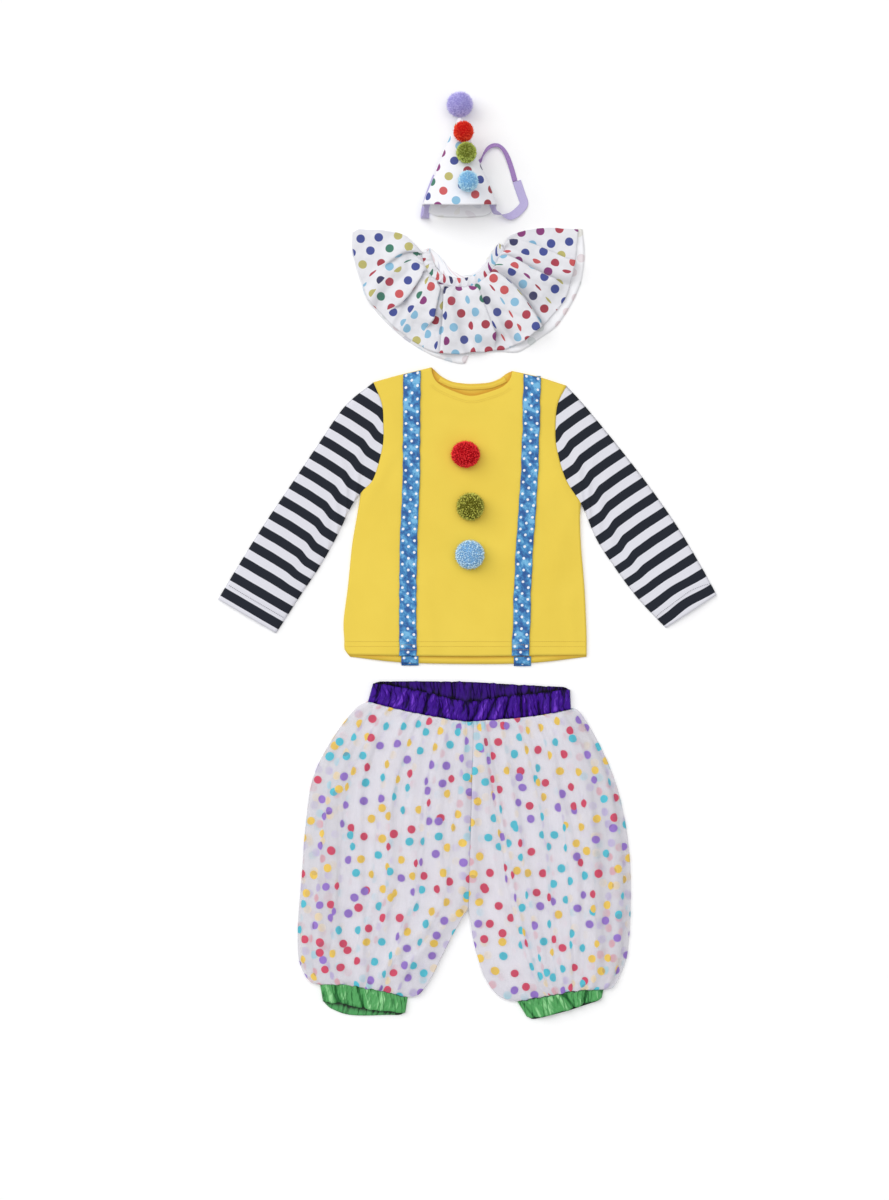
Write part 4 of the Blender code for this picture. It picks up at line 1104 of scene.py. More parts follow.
# %% Node tree of a pompom
def pompom_tree():
    nodes = Nodes("yarn_pompom")
    labels = ("Tuft spacing", "Tuft length", "Tuft width", "Hair length")
    spacing, length, width, hair = (nodes.ask(label, "Float") for label in labels)
    seed = nodes.ask("Seed", "Int")
    finish = nodes.ask("Finish", "Material")
    core = nodes.entry.outputs["Geometry"]
    normal = nodes.add("GeometryNodeInputNormal")
    upward = nodes.add("ShaderNodeSeparateXYZ", None, {0: normal}, out=2)
    bare = nodes.add("FunctionNodeCompare", {"operation": "GREATER_THAN"}, {0: upward, 1: -0.55})
    shown = {"Mesh": core, "Selection": bare, "Seed": seed}

    def scatter(method, **limits):
        sockets = {label.replace("_", " "): value for label, value in limits.items()}
        points = nodes.add("GeometryNodeDistributePointsOnFaces", {"distribute_method": method},
                           {**shown, **sockets})
        return points, points.node.outputs["Rotation"]

    roots, outward = scatter("POISSON", Distance_Min=spacing, Density_Max=2.0e6)
    grain = nodes.add("GeometryNodeMeshUVSphere", None, {"Segments": 6, "Rings": 5, "Radius": 0.5})
    size = nodes.add("ShaderNodeCombineXYZ", None, {0: width, 1: width, 2: length})
    out = nodes.add("ShaderNodeMath", {"operation": "MULTIPLY"}, {0: length, 1: 0.3})
    rooted = nodes.add("ShaderNodeCombineXYZ", None, {2: out})
    tuft = nodes.add("GeometryNodeTransform", None,
                     {"Geometry": grain, "Scale": size, "Translation": rooted})
    tilt = nodes.random((-0.32, -0.32, -3.1), (0.32, 0.32, 3.1), seed)
    tufts = nodes.add("GeometryNodeInstanceOnPoints", None, {
        "Points": roots, "Instance": tuft, "Rotation": nodes.turned(outward, tilt),
        "Scale": nodes.random(0.72, 1.2, seed)})
    tufts = nodes.add("GeometryNodeStoreNamedAttribute", {"data_type": "FLOAT", "domain": "INSTANCE"},
                      {"Geometry": tufts, "Name": "tone", "Value": nodes.random(0.0, 1.0, seed)})
    roots, outward = scatter("RANDOM", Density=3.2e5)
    thin = nodes.add("GeometryNodeMeshCone", {"fill_type": "NONE"},
                     {"Vertices": 3, "Radius Top": 0.00004, "Radius Bottom": 0.00014, "Depth": hair})
    tilt = nodes.random((-0.7, -0.7, -3.1), (0.7, 0.7, 3.1), seed)
    hairs = nodes.add("GeometryNodeInstanceOnPoints", None, {
        "Points": roots, "Instance": thin, "Rotation": nodes.turned(outward, tilt)})
    both = nodes.add("GeometryNodeJoinGeometry")
    for part in (hairs, tufts, core):
        nodes.tree.links.new(part, both.node.inputs[0])
    nodes.finish(both, finish)
    return nodes


POMPOM_TREE = pompom_tree()
print("pompom inputs:", sorted(POMPOM_TREE.named))

# %% [markdown]
# A row of stitches follows a line: the line is cut into equal steps, and one bead of thread lies along
# it at each step. The same tree serves the hems, the neckline, the braces and the cuffs.


# %% Node tree of a row of stitches
def stitch_tree():
    nodes = Nodes("stitch_row")
    labels = ("Pitch", "Stitch length", "Thread width")
    pitch, length, width = (nodes.ask(label, "Float") for label in labels)
    finish = nodes.ask("Finish", "Material")
    path = nodes.add("GeometryNodeMeshToCurve", None, {"Mesh": nodes.entry.outputs["Geometry"]})
    steps = nodes.add("GeometryNodeResampleCurve", {"mode": "LENGTH"}, {"Curve": path, "Length": pitch})
    way = nodes.add("GeometryNodeInputTangent")
    turned = nodes.add("FunctionNodeAlignRotationToVector", {"axis": "X"}, {"Vector": way})
    bead = nodes.add("GeometryNodeMeshUVSphere", None, {"Segments": 6, "Rings": 4, "Radius": 0.5})
    size = nodes.add("ShaderNodeCombineXYZ", None, {0: length, 1: width, 2: width})
    stitch = nodes.add("GeometryNodeTransform", None, {"Geometry": bead, "Scale": size})
    row = nodes.add("GeometryNodeInstanceOnPoints", None,
                    {"Points": steps, "Instance": stitch, "Rotation": turned})
    nodes.finish(row, finish)
    return nodes


STITCH_TREE = stitch_tree()


def stitch_row(name, line, finish, pitch=2.6, length=2.0, width=0.55):
    """A row of stitches along a line of x, y and z, in millimetres."""
    mesh = bpy.data.meshes.new(name)
    mesh.from_pydata((line * MM).tolist(), [(at, at + 1) for at in range(len(line) - 1)], [])
    made = add_object(name, mesh)
    STITCH_TREE.apply(made, Pitch=pitch * MM, Stitch_length=length * MM, Thread_width=width * MM,
                      Finish=finish)
    made.data.shade_smooth()
    place_piece(made, None)

# %% One pompom
TUFT = 3.4  # length of a tuft on a pompom of the full width
FULL_WIDTH = 38.0
TUFT_INSET = 0.62  # share of a tuft by which the core is smaller


def pompom(name, centre, size, seat, slope, slot, spacing, seed, face):
    """A trimmed yarn ball, cut flat at its seat, which is a share of its half height."""
    half = np.array(size) / 2
    tuft = TUFT * min(size[0] / FULL_WIDTH, 1.0) ** 0.5
    inset = TUFT_INSET * tuft
    body = bmesh.new()
    bmesh.ops.create_icosphere(body, subdivisions=3, radius=1.0)
    for vert in body.verts:
        vert.co.z = max(vert.co.z, -seat)
        vert.co = [vert.co[axis] * (half[axis] - inset) * MM for axis in range(3)]
        vert.co.z += 0.3 * inset * MM if vert.co.z < -0.9 * seat * (half[2] - inset) * MM else 0.0
    mesh = bpy.data.meshes.new(name)
    body.to_mesh(mesh)
    body.free()
    made = add_object(name, mesh)
    POMPOM_TREE.apply(made, Tuft_spacing=spacing * MM, Tuft_length=tuft * MM,
                      Tuft_width=1.25 * spacing * MM, Hair_length=1.35 * tuft * MM, Seed=seed,
                      Finish=YARNS[slot])
    mesh = made.data
    points = read_points(mesh)
    depth = np.linalg.norm(points / half, axis=1)
    # The tip mark paints the yarn darker towards the core, as painted shade between the tufts.
    store_mark(mesh, "tip", smooth((depth - 1 + 3.0 / half[0]) / (3.0 / half[0])))
    store_mark(mesh, "face", smooth((points[:, 2] / half[2] - 0.35) / 0.5) * face)
    points[:, 2] = np.maximum(points[:, 2], -seat * half[2])
    cos, sin = math.cos(math.radians(slope)), math.sin(math.radians(slope))
    y, z = points[:, 1] * cos - points[:, 2] * sin, points[:, 1] * sin + points[:, 2] * cos
    points = np.column_stack([points[:, 0] + centre[0], y + centre[1], z + centre[2]]) * MM
    mesh.vertices.foreach_set("co", points.astype(np.float32).ravel())
    mesh.shade_smooth()
    mesh.update()
    return made

# %% Pompoms of the hat
TIP_POMPOM = 36.5
TIP_SEAT = 0.94
POMPOM = 27.8
POMPOM_SEAT = 0.8
tip_centre = (-11.6, 629.0, TIP_POMPOM / 2 * TIP_SEAT)
tip_size = (TIP_POMPOM - 0.5, TIP_POMPOM - 2.0, TIP_POMPOM)
tip_ball = pompom("tip_pompom", tip_centre, tip_size, TIP_SEAT, 0, "lilac_yarn", 1.6, 11, 0.4)
place_piece(tip_ball, "lilac_yarn", "hat_pompom_lilac")
crest = math.degrees(math.atan2(HAT_TIP_LIFT + HAT_TIP_HEIGHT - HAT_HEIGHT, HAT_TIP_Y - HAT_RIM_Y))
for colour, slot, x, y, seed in (
    ("red", "red_yarn", -6.5, 587.6, 12),
    ("green", "green_yarn", -2.6, 557.3, 13),
    ("blue", "blue_yarn", -0.2, 516.3, 14),
):
    lift_up = POMPOM / 2 * POMPOM_SEAT + SEAM + 0.1
    along = (y - HAT_RIM_Y) / (HAT_TIP_Y - HAT_RIM_Y)
    top = hat_point(along, math.pi / 2)[2] + lift_up / math.cos(math.radians(crest))
    ball = pompom(f"hat_{colour}_ball", (x, y, top), (POMPOM, POMPOM + 1.4, POMPOM), POMPOM_SEAT,
                  crest, f"hat_{colour}_yarn", 1.6, seed, 0.6)
    place_piece(ball, slot, "hat_pompom_" + colour)

# %% [markdown]
# ## Ruff
#
# A ruff is a long strip of cotton pleated into a short neckband. The pleats are tight at the neck and
# open out towards the rim. A smooth wave would look like corrugated card, so each pleat here has its
# own place, height and two widths, one for the side that climbs and one for the side that falls, and
# leans over like a real knife pleat: its crest is carried sideways in proportion to its height.

# %% Outline of the ruff
NECKBAND_WIDTH = 13.0
NECKBAND = 1.4
NECKBAND_ROOM = 1.4
NECK_FRONT = ((-53.8, 430.5), (-48.4, 411.3), (-40.5, 398.4), (-25.9, 391.0), (-7, 388.4),
              (9.8, 393.6), (22.4, 405.3), (32.2, 422.3), (43.0, 437.5))
NECK_BACK = ((-53.2, 431.2), (-42, 421.6), (-33.5, 411.6), (-24, 400.6), (-8, 393.2),
             (8.4, 397.2), (21.4, 408.8), (31.6, 424.5), (43.4, 438.2))
RUFF_FRONT_RIM = ((-161, 452), (-160.5, 423.5), (-149.1, 384.3), (-135.1, 353.5), (-98, 315.3),
                  (-63, 291.5), (-30.8, 282.0), (2.8, 283.1), (44.8, 288.2), (74.0, 297.5),
                  (105.7, 322.4), (135.7, 359.8), (148.1, 401.4), (152.7, 434.0), (154.5, 456.0))
RUFF_BACK_RIM = ((-162, 454), (-161.5, 423.5), (-150.1, 382.3), (-136.5, 351.5), (-99.5, 312.3),
                 (-64, 287.5), (-36.8, 275.4), (-6.3, 268.6), (4.2, 282.0), (43.4, 285.3),
                 (71.4, 285.4), (99.4, 303.1), (127.4, 325.5), (155.4, 374.5), (163.2, 418.5),
                 (160.2, 457.5))
WING_LEFT = ((-88.1, 447.8), (-120, 455.4), (-149.1, 456.2))
WING_RIGHT = ((57.4, 445.9), (81.2, 455.1), (112.6, 458.9))
RUFF_PLEATS = (
    # place at the neck, half way and at the rim; widths of its two sides; height; lean; start, end
    (0.030, 0.100, 0.140, 15, 6, 6.8, 0.5, 0.00, 0.62),
    (0.105, 0.150, 0.185, 14, 13, 4.2, 0.0, 0.35, 1.10),
    (0.170, 0.240, 0.236, 15, 5, 8.6, 0.8, 0.00, 0.80),
    (0.222, 0.290, 0.300, 11, 12, 5.2, 0.0, 0.00, 1.10),
    (0.280, 0.345, 0.372, 16, 4, 11.4, 1.0, 0.00, 0.72),
    (0.345, 0.395, 0.410, 9, 9, 5.7, 0.2, 0.00, 0.55),
    (0.412, 0.441, 0.446, 5, 18, 11.7, -0.8, 0.00, 1.10),
    (0.480, 0.500, 0.515, 9, 10, 5.5, 0.0, 0.00, 1.10),
    (0.530, 0.546, 0.570, 17, 3.6, 13.0, 0.9, 0.00, 0.90),
    (0.580, 0.585, 0.606, 3.6, 16, 10.9, -0.4, 0.00, 0.78),
    (0.628, 0.642, 0.648, 10, 12, 4.9, 0.0, 0.00, 1.10),
    (0.688, 0.702, 0.698, 20, 8, 13.8, 0.4, 0.04, 1.10),
    (0.760, 0.765, 0.770, 9, 9, 4.9, 0.2, 0.00, 0.80),
    (0.833, 0.803, 0.843, 17, 6, 11.4, 0.6, 0.00, 0.86),
    (0.895, 0.855, 0.875, 10, 10, 4.2, 0.0, 0.20, 1.10),
    (0.955, 0.902, 0.900, 14, 5, 8.8, 0.8, 0.05, 1.10),
)

# %% [markdown]
# The print needs its own care. At the neck three times as much cloth is gathered as there is room for,
# and what there is no room for lies hidden in the pleats. So the cloth map runs at true scale over each
# open panel as it lies and jumps at each pleat's steep side, where a spot is cut off. Each jump is one
# constant shift along the strip, because one that grew towards the neck would shear the round spots.


# %% Pleats of a frill
def pleated(flat, pleats, shift):
    """A frill's plan, moved sideways where its pleats lean, their height, its cloth map and the
    painted shadow that each point takes beside a pleat's steep side. Shift is the cloth that a
    pleat hides, in millimetres."""
    rows, columns = flat.shape[:2]
    place, depth = grid_places(flat)
    length = row_lengths(flat)
    along = unit(np.gradient(flat, axis=1))
    height, moved, pleat_shadow = np.zeros((3, rows, columns))
    cloth = flat.copy()
    for number, (neck, half, rim, before, after, crest, lean, start, stop) in enumerate(pleats):
        path = neck + (4 * half - 3 * neck - rim) * depth + (2 * neck + 2 * rim - 4 * half) * depth**2
        tight = 0.45 + 0.55 * smooth(depth * 1.8)
        aside = (place - path) * length
        shape = uneven_ridge(aside, before * tight, after * tight)
        window = smooth((depth - start + 0.08) * 8) * smooth((stop + 0.12 - depth) * 5)
        rise = crest * shape * window * (0.4 + 0.6 * smooth(depth * 4))
        height += rise
        moved += lean * rise
        way = along[rows // 2, round(half * (columns - 1))] * shift * (1 + 0.4 * math.sin(7 * number))
        cloth = cloth + smooth(aside / (min(after, 5.0) * tight))[..., None] * way
        # Painted shadow in the valley beside the pleat's steep side, stronger for a taller pleat.
        steep = min(before, after) * tight
        beyond = (aside if after < before else -aside) - steep
        shaded = smooth(beyond / steep + 0.9) * smooth(1 - beyond / (0.95 * crest * tight))
        pleat_shadow += min(crest / 10.0, 1.1) * shaded * window
    ends = off_ends(place, 30)
    plan = flat + along * (moved * ends * smooth(depth * 5))[..., None]
    return plan, height * ends, cloth + plan - flat, np.clip(pleat_shadow, 0.0, 1.0)

# %% The two frills
HIDDEN_CLOTH = 12.0  # cloth that an average pleat hides


def frill(neck, rim, rows, columns):
    """A frill in plan, from the neckband to its rim and between its two short edges."""
    inner = sideways(run(neck, even(columns)), -NECKBAND_WIDTH - SEWN)
    outer = run(rim, even(columns))
    left = edge_run(inner[0], WING_LEFT, outer[0], even(rows))
    right = edge_run(inner[-1], WING_RIGHT, outer[-1], even(rows))
    return patch(inner, outer, left, right)


flat = frill(NECK_FRONT, RUFF_FRONT_RIM, 64, 340)
across, depth = grid_places(flat)
flat[..., 1] += 1.4 * ripple(flat[..., 0], 0 * flat[..., 0], 22, 34.0) * depth**3
plan, height, frill_map, pleat_shadow = pleated(flat, RUFF_PLEATS, HIDDEN_CLOTH)
from_neck = depth * 100.0
small = tucks(across, from_neck, 51, 40, 26.0, 3.8) * smooth(from_neck / 4.0)
soft = 1.0 * (1 + ripple(plan[..., 0], plan[..., 1], 21, 20.0)) * smooth(from_neck / 30.0)
soft += 0.3 * (1 + ripple(plan[..., 0], plan[..., 1], 23, 8.0)) * smooth(from_neck / 10.0)
# The shade mark paints grey shadow beside each pleat's steep side.
front_frill = panel("front_frill", raised(plan, FRILL + SEAM + height + small + soft), FRILL,
                    ruff_cotton, (1.0, 0.25), (("shade", pleat_shadow),), frill_map)
place_piece(front_frill, "ruff_cotton", "ruff_frill_front")

flat = frill(NECK_BACK, RUFF_BACK_RIM, 34, 150)
back_frill = panel("back_frill", raised(flat, 0.0), FRILL, ruff_cotton, (0.22, 1.0), level=True)
place_piece(back_frill, "ruff_cotton", "ruff_frill_back")

# %% Neckband
folds = even(150)
front_neck = run(NECK_FRONT, folds)
back_neck = run(NECK_BACK, folds)
for end in (0, -1):
    front_neck[end] = back_neck[end] = (front_neck[end] + back_neck[end]) / 2
widths = np.linspace(0.0, -NECKBAND_WIDTH, 15)
top = np.stack([sideways(front_neck, width) for width in widths])
low = np.stack([sideways(back_neck, width) for width in widths])
room = NECKBAND_ROOM * np.sin(math.pi * folds)[None, :] ** 0.5
across_band = even(14)[:, None]
roll = 0.8 * np.sin(math.pi * across_band) ** 0.6
round_band = (folds + 0.012 * np.sin(folds * 40))[None, :] + 0.02 * across_band
pucker = tucks(round_band, 0 * across_band, 52, 32, 60.0, 1.9) * np.sin(math.pi * across_band) ** 0.5
height = 2 * NECKBAND + SEAM + room + roll + pucker - 0.4
neckband = flat_ring("neckband", low, top, height, NECKBAND, ruff_cotton, (1.0, 0.22), stretch=2.3)
place_piece(neckband, "ruff_cotton", "ruff_neckband")

# %% [markdown]
# ## Shirt
#
# The shirt is two jersey panels sewn at the shoulders and sides, with a sleeve in each armhole. It lies
# flat, so the front rests on the back and hardly rises; soft diagonal folds run from the underarms and
# small ones gather beside the braces. The same height function gives the panel, the braces and the
# pompoms their places, so a fold in the cloth lifts what is sewn on it.

# %% Outline of the shirt
SHOULDER_LEFT, SHOULDER_RIGHT = (-132.4, 242.5), (137.8, 237.7)
NECK_LEFT, NECK_RIGHT = (-51.1, 263.4), (61.9, 258.3)
SHOULDER_BENDS = ((-100.0, 251.6), NECK_LEFT, NECK_RIGHT, (99.0, 250.0))
UNDERARM_LEFT, UNDERARM_RIGHT = (-149.8, 88.9), (158.2, 73.5)
ARMHOLE_LEFT = ((-120.5, 212.0), (-118.4, 182.7), (-119.7, 151.9), (-132.2, 107.7))
ARMHOLE_RIGHT = ((125.5, 212.0), (122.5, 182.3), (123.9, 151.9), (136.4, 107.7))
SIDE_LEFT = ((-155.4, 55.3), (-162.4, 13.3), (-168, -42.7), (-174, -90), (-173.2, -118.3),
             (-172.6, -131.5))
SIDE_RIGHT = ((156.8, 50.3), (158.2, 13.3), (162.8, -42.7), (165.2, -90), (166, -115))
FRONT_HEM = ((-166.0, -139.0), (-95, -140.2), (0, -141.2), (95, -140.2), (166.0, -139.5))
BACK_HEM = ((-165.0, -141.8), (-92, -149.6), (0, -151.8), (88, -150.4), (166.0, -141.8))
FRONT_NECK = ((-49.6, 253.8), (-43.1, 242.6), (-28.1, 233.5), (-5.6, 225.0), (6.2, 223.4),
              (17.9, 225.4), (43.7, 234.0), (54.6, 241.4), (59.6, 248.5))
BACK_NECK = ((-36.7, 250.6), (-22.8, 243.7), (-9.9, 241.4), (4.1, 240.4), (28.7, 242.1),
             (43.7, 247.4), (54.3, 254.9))
BRACE_LIFT = RIBBON + SEAM
CROWN = 2.8
SHIRT_FOLDS = (
    # x and y of one end, x and y of the other, width, height
    (-118, 100, -40, 40, 20, 1.2), (120, 90, 60, 20, 20, 1.1),
    (-150, -20, -110, -110, 16, 0.9), (60, -10, 90, -110, 18, 0.9),
    (-140, 78, -112, 132, 9, 1.0), (146, 66, 120, 128, 9, 1.1),
    (-128, 60, -96, -20, 12, 0.8), (-56, 150, -30, 90, 14, 0.6),
    (48, 132, 66, 70, 13, 0.7), (132, 30, 112, -60, 13, 0.8),
    (-60, -40, -52, -118, 12, 0.8), (-40, -20, 20, -70, 22, 0.7),
    (30, -60, 44, -125, 14, 0.6), (-104, 210, -100, 150, 10, 0.7),
    (108, 206, 104, 150, 10, 0.7), (-36, 212, 40, 208, 12, 0.5),
    (-20, 176, 30, 168, 16, 0.4), (144, -70, 150, -128, 10, 0.8),
    (-160, 20, -168, -60, 8, 0.7), (96, -30, 110, -90, 14, 0.5),
)

# %% Heights of the shirt
SHIRT_MIDDLE = 4.0
SHIRT_HALF_WIDTH = 172.0


def back_height(x):
    """Underside of the back, which lies on the back lengths of the braces."""
    return BRACE_LIFT * smooth((168 - np.abs(x)) / 50)


def front_height(x, y):
    """Underside of the front, which lies on the back with a little room."""
    inward = SHIRT_HALF_WIDTH - np.abs(x - SHIRT_MIDDLE)
    dome = smooth(inward / 120) * smooth((262 - y) / 70) * smooth((y + 190) / 90)
    height = back_height(x) + JERSEY + SEAM + CROWN * dome
    calm = smooth(inward / 30) * smooth((y + 142) / 12)
    for fold in SHIRT_FOLDS:
        height = height + fold_across(x, y, fold) * calm
    return height + 0.25 * (1 + ripple(x, y, 31, 55.0)) * calm


def shirt_flat(neck, hem, rows, columns):
    """One body panel in plan. Columns are those of a shoulder and the neck, rows those of an
    armhole and a side."""
    shoulder, collar = columns
    top = joined(
        run((SHOULDER_LEFT,) + SHOULDER_BENDS[:2], even(shoulder)),
        edge_run(NECK_LEFT, neck, NECK_RIGHT, even(collar)),
        run(SHOULDER_BENDS[2:] + (SHOULDER_RIGHT,), even(shoulder)),
    )
    sides = []
    for start, armhole, under, side, end in (
        (SHOULDER_LEFT, ARMHOLE_LEFT, UNDERARM_LEFT, SIDE_LEFT, hem[0]),
        (SHOULDER_RIGHT, ARMHOLE_RIGHT, UNDERARM_RIGHT, SIDE_RIGHT, hem[-1]),
    ):
        sides.append(joined(edge_run(start, armhole, under, even(rows[0])),
                            edge_run(under, side, end, even(rows[1]))))
    return relaxed(patch(top, run(hem, even(2 * shoulder + collar)), *sides), 160)

# %% Body panels
flat = shirt_flat(FRONT_NECK, FRONT_HEM, (66, 66), (20, 80))
front = raised(flat, front_height(flat[..., 0], flat[..., 1]))
shirt_front = panel("shirt_front_panel", front, JERSEY, yellow_jersey, level=True)
flat = shirt_flat(BACK_NECK, BACK_HEM, (42, 42), (14, 56))
back = raised(flat, back_height(flat[..., 0]))
# Painted shade on the back's inside: darker towards the neck, darkest in a band beside the front's neck
# edge and in a line just below the front's hem, where the front shades it.
neck_line = edge_run(NECK_LEFT, FRONT_NECK, NECK_RIGHT, even(80))
beside = np.linalg.norm(flat[:, :, None] - neck_line[None, None], axis=3).min(axis=2)
hem_line = np.interp(flat[..., 0], *np.array(FRONT_HEM).T)
shade = 0.08 + 0.22 * smooth((flat[..., 1] - 190) / 30) + 0.5 * ridge(beside, 5.0)
shade = np.clip(shade + 0.5 * ridge(flat[..., 1] - hem_line, 2.6), 0, 1)
shirt_back = panel("shirt_back_panel", back, JERSEY, yellow_jersey, marks=(("shade", shade),),
                   level=True)
place_piece(shirt_front, "yellow_jersey", "shirt_front")
place_piece(shirt_back, "yellow_jersey", "shirt_back")

# %% Neck tape on the inside of the back
edge = run(((-38.0, 251.0),) + BACK_NECK[1:-1] + ((50.0, 251.0),), even(60))
upper, lower = sideways(edge, -0.6), sideways(edge, -8.6)
tape = patch(upper, lower, run((upper[0], lower[0]), even(6)), run((upper[-1], lower[-1]), even(6)))
tape = raised(tape, back_height(tape[..., 0]) + JERSEY + SEAM)
# Painted shade on the tape: darker along every third row, and darker on its lower rows, which lie in the
# shade inside the neck.
tape_rows = 0.05 + 0.3 * (np.arange(7) % 3 == 1)[:, None] + 0.25 * (np.arange(7) > 4)[:, None]
neck_tape = panel("neck_tape", tape, 0.8, yellow_jersey, marks=(("shade", tape_rows),))
place_piece(neck_tape, "yellow_jersey", "shirt_neck_tape")

# %% [markdown]
# The sleeves are tubes of striped jersey pressed flat. The stripes are knitted in, so they run straight
# round the sleeve, and they only bend where the cloth is pushed together below the arm.

# %% Outline and folds of the sleeves
SLEEVES = {
    # outer and inner edge; which way it points; how far its stripes have slid towards the cuff and
    # bulge at the wrist; folds, by place along at the outer and the inner side, width and height
    "left": {
        "outer": ((-172.2, 209.3), (-211.4, 153.3), (-249.2, 97.3), (-287, 41.3), (-322, -14.7),
                  (-350, -61.3)),
        "inner": ((-163.4, 69.3), (-183.4, 27.3), (-207.2, -14.7), (-235.2, -56.7), (-268.8, -108.8)),
        "armhole": (SHOULDER_LEFT, ARMHOLE_LEFT, UNDERARM_LEFT),
        "sign": -1, "slide": 3.0, "bulge": 0.0,
        "folds": ((0.16, 0.30, 0.030, 1.6), (0.27, 0.42, 0.022, 1.7), (0.36, 0.52, 0.024, 1.5),
                  (0.46, 0.60, 0.028, 1.0), (0.62, 0.66, 0.05, 0.8), (0.80, 0.86, 0.05, 0.6)),
    },
    "right": {
        "outer": ((163.8, 209.3), (210, 153.3), (253.4, 97.3), (292.6, 41.3), (326.2, -14.7),
                  (348.3, -55)),
        "inner": ((166.2, 55.3), (177.8, 27.3), (194.6, -0.7), (235.2, -56.7), (277.1, -101.4)),
        "armhole": (SHOULDER_RIGHT, ARMHOLE_RIGHT, UNDERARM_RIGHT),
        "sign": 1, "slide": 5.2, "bulge": 3.6,
        "folds": ((0.17, 0.29, 0.030, 1.5), (0.25, 0.38, 0.020, 1.7), (0.35, 0.50, 0.026, 1.4),
                  (0.48, 0.60, 0.028, 1.0), (0.66, 0.70, 0.05, 0.8), (0.84, 0.80, 0.05, 0.6)),
    },
}
SLEEVE_ROOM = 2.8
SLEEVE_FAN = 1.7  # how much closer the inner side's points are at the underarm


# %% Stripes of a sleeve
def stripes(sleeve, flat, x, y):
    """Cloth map of a sleeve: for a place in plan, how far it is along the cuff and how far up from
    it. Near the inner side, where cloth is pushed together, the stripes sag towards the cuff."""
    corner = flat[-1, 0]
    way = unit(flat[-1, -1] - corner)
    up = np.array([-way[1], way[0]])
    up *= np.sign(up @ (flat[0].mean(axis=0) - flat[-1].mean(axis=0)))
    inner_line = flat[:, -1] - corner
    rise = (x - corner[0]) * up[0] + (y - corner[1]) * up[1]
    inward = (x - corner[0]) * way[0] + (y - corner[1]) * way[1]
    near = np.interp(rise, (inner_line @ up)[::-1], (inner_line @ way)[::-1]) - inward
    upper = smooth((rise - 40) / 90)
    sag = 5.2 * smooth((36 - near) / 18) + 3.0 * smooth((72 - near) / 70)
    wrist = sleeve["bulge"] * smooth((75 - rise) / 50) * ridge(near - 45, 26)
    return inward, rise + sleeve["slide"] + upper * sag - wrist

# %% Sleeves
for side, sleeve in SLEEVES.items():
    shoulder, armhole, underarm = sleeve["armhole"]
    across, along = even(40), even(120)
    head = edge_run(shoulder, armhole, underarm, across)
    head[:, 0] += sleeve["sign"] * SEWN
    cuff = run((sleeve["outer"][-1], sleeve["inner"][-1]), across)
    outer_edge = run((head[0],) + sleeve["outer"], along)
    inner_edge = run((head[-1],) + sleeve["inner"], along**SLEEVE_FAN)
    flat = patch(head, cuff, outer_edge, inner_edge)
    room = SLEEVE_ROOM * np.sin(math.pi * across)[None, :] ** 0.5
    height = 2 * JERSEY + SEAM + room * (0.8 + 0.2 * np.cos(5 * along))[:, None]
    reach = smooth(across * 1.6)[None, :] * smooth((1 - across) * 8)[None, :]
    for outside, inside, width, rise in sleeve["folds"]:
        place = outside + (inside - outside) * across[None, :] ** 2
        height = height + rise * ridge(along[:, None] - place, width) * reach
    height = height - 0.25 * smooth((along - 0.965) * 40)[:, None]
    made = flat_ring(f"{side}_sleeve", flat, flat, height, JERSEY, striped_jersey)
    corner = np.empty(len(made.data.loops), np.int32)
    made.data.loops.foreach_get("vertex_index", corner)
    x, y, _ = read_points(made.data)[corner].T
    mapped = np.column_stack(stripes(sleeve, flat, x, y))
    made.data.uv_layers["cloth"].data.foreach_set("uv", mapped.astype(np.float32).ravel())
    place_piece(made, "striped_jersey", "shirt_sleeve_" + side)

# %% Braces
BRACES = (
    ("left", (-78.6, -79.4, -83.4, -84.4)),
    ("right", (89.6, 86.2, 78.4, 73.2)),
)
BRACE_Y = (252.6, 120.0, 0.0, -140.4)
BRACE_TURN_UP = 8.5  # end of a back length that shows on the front of the hem


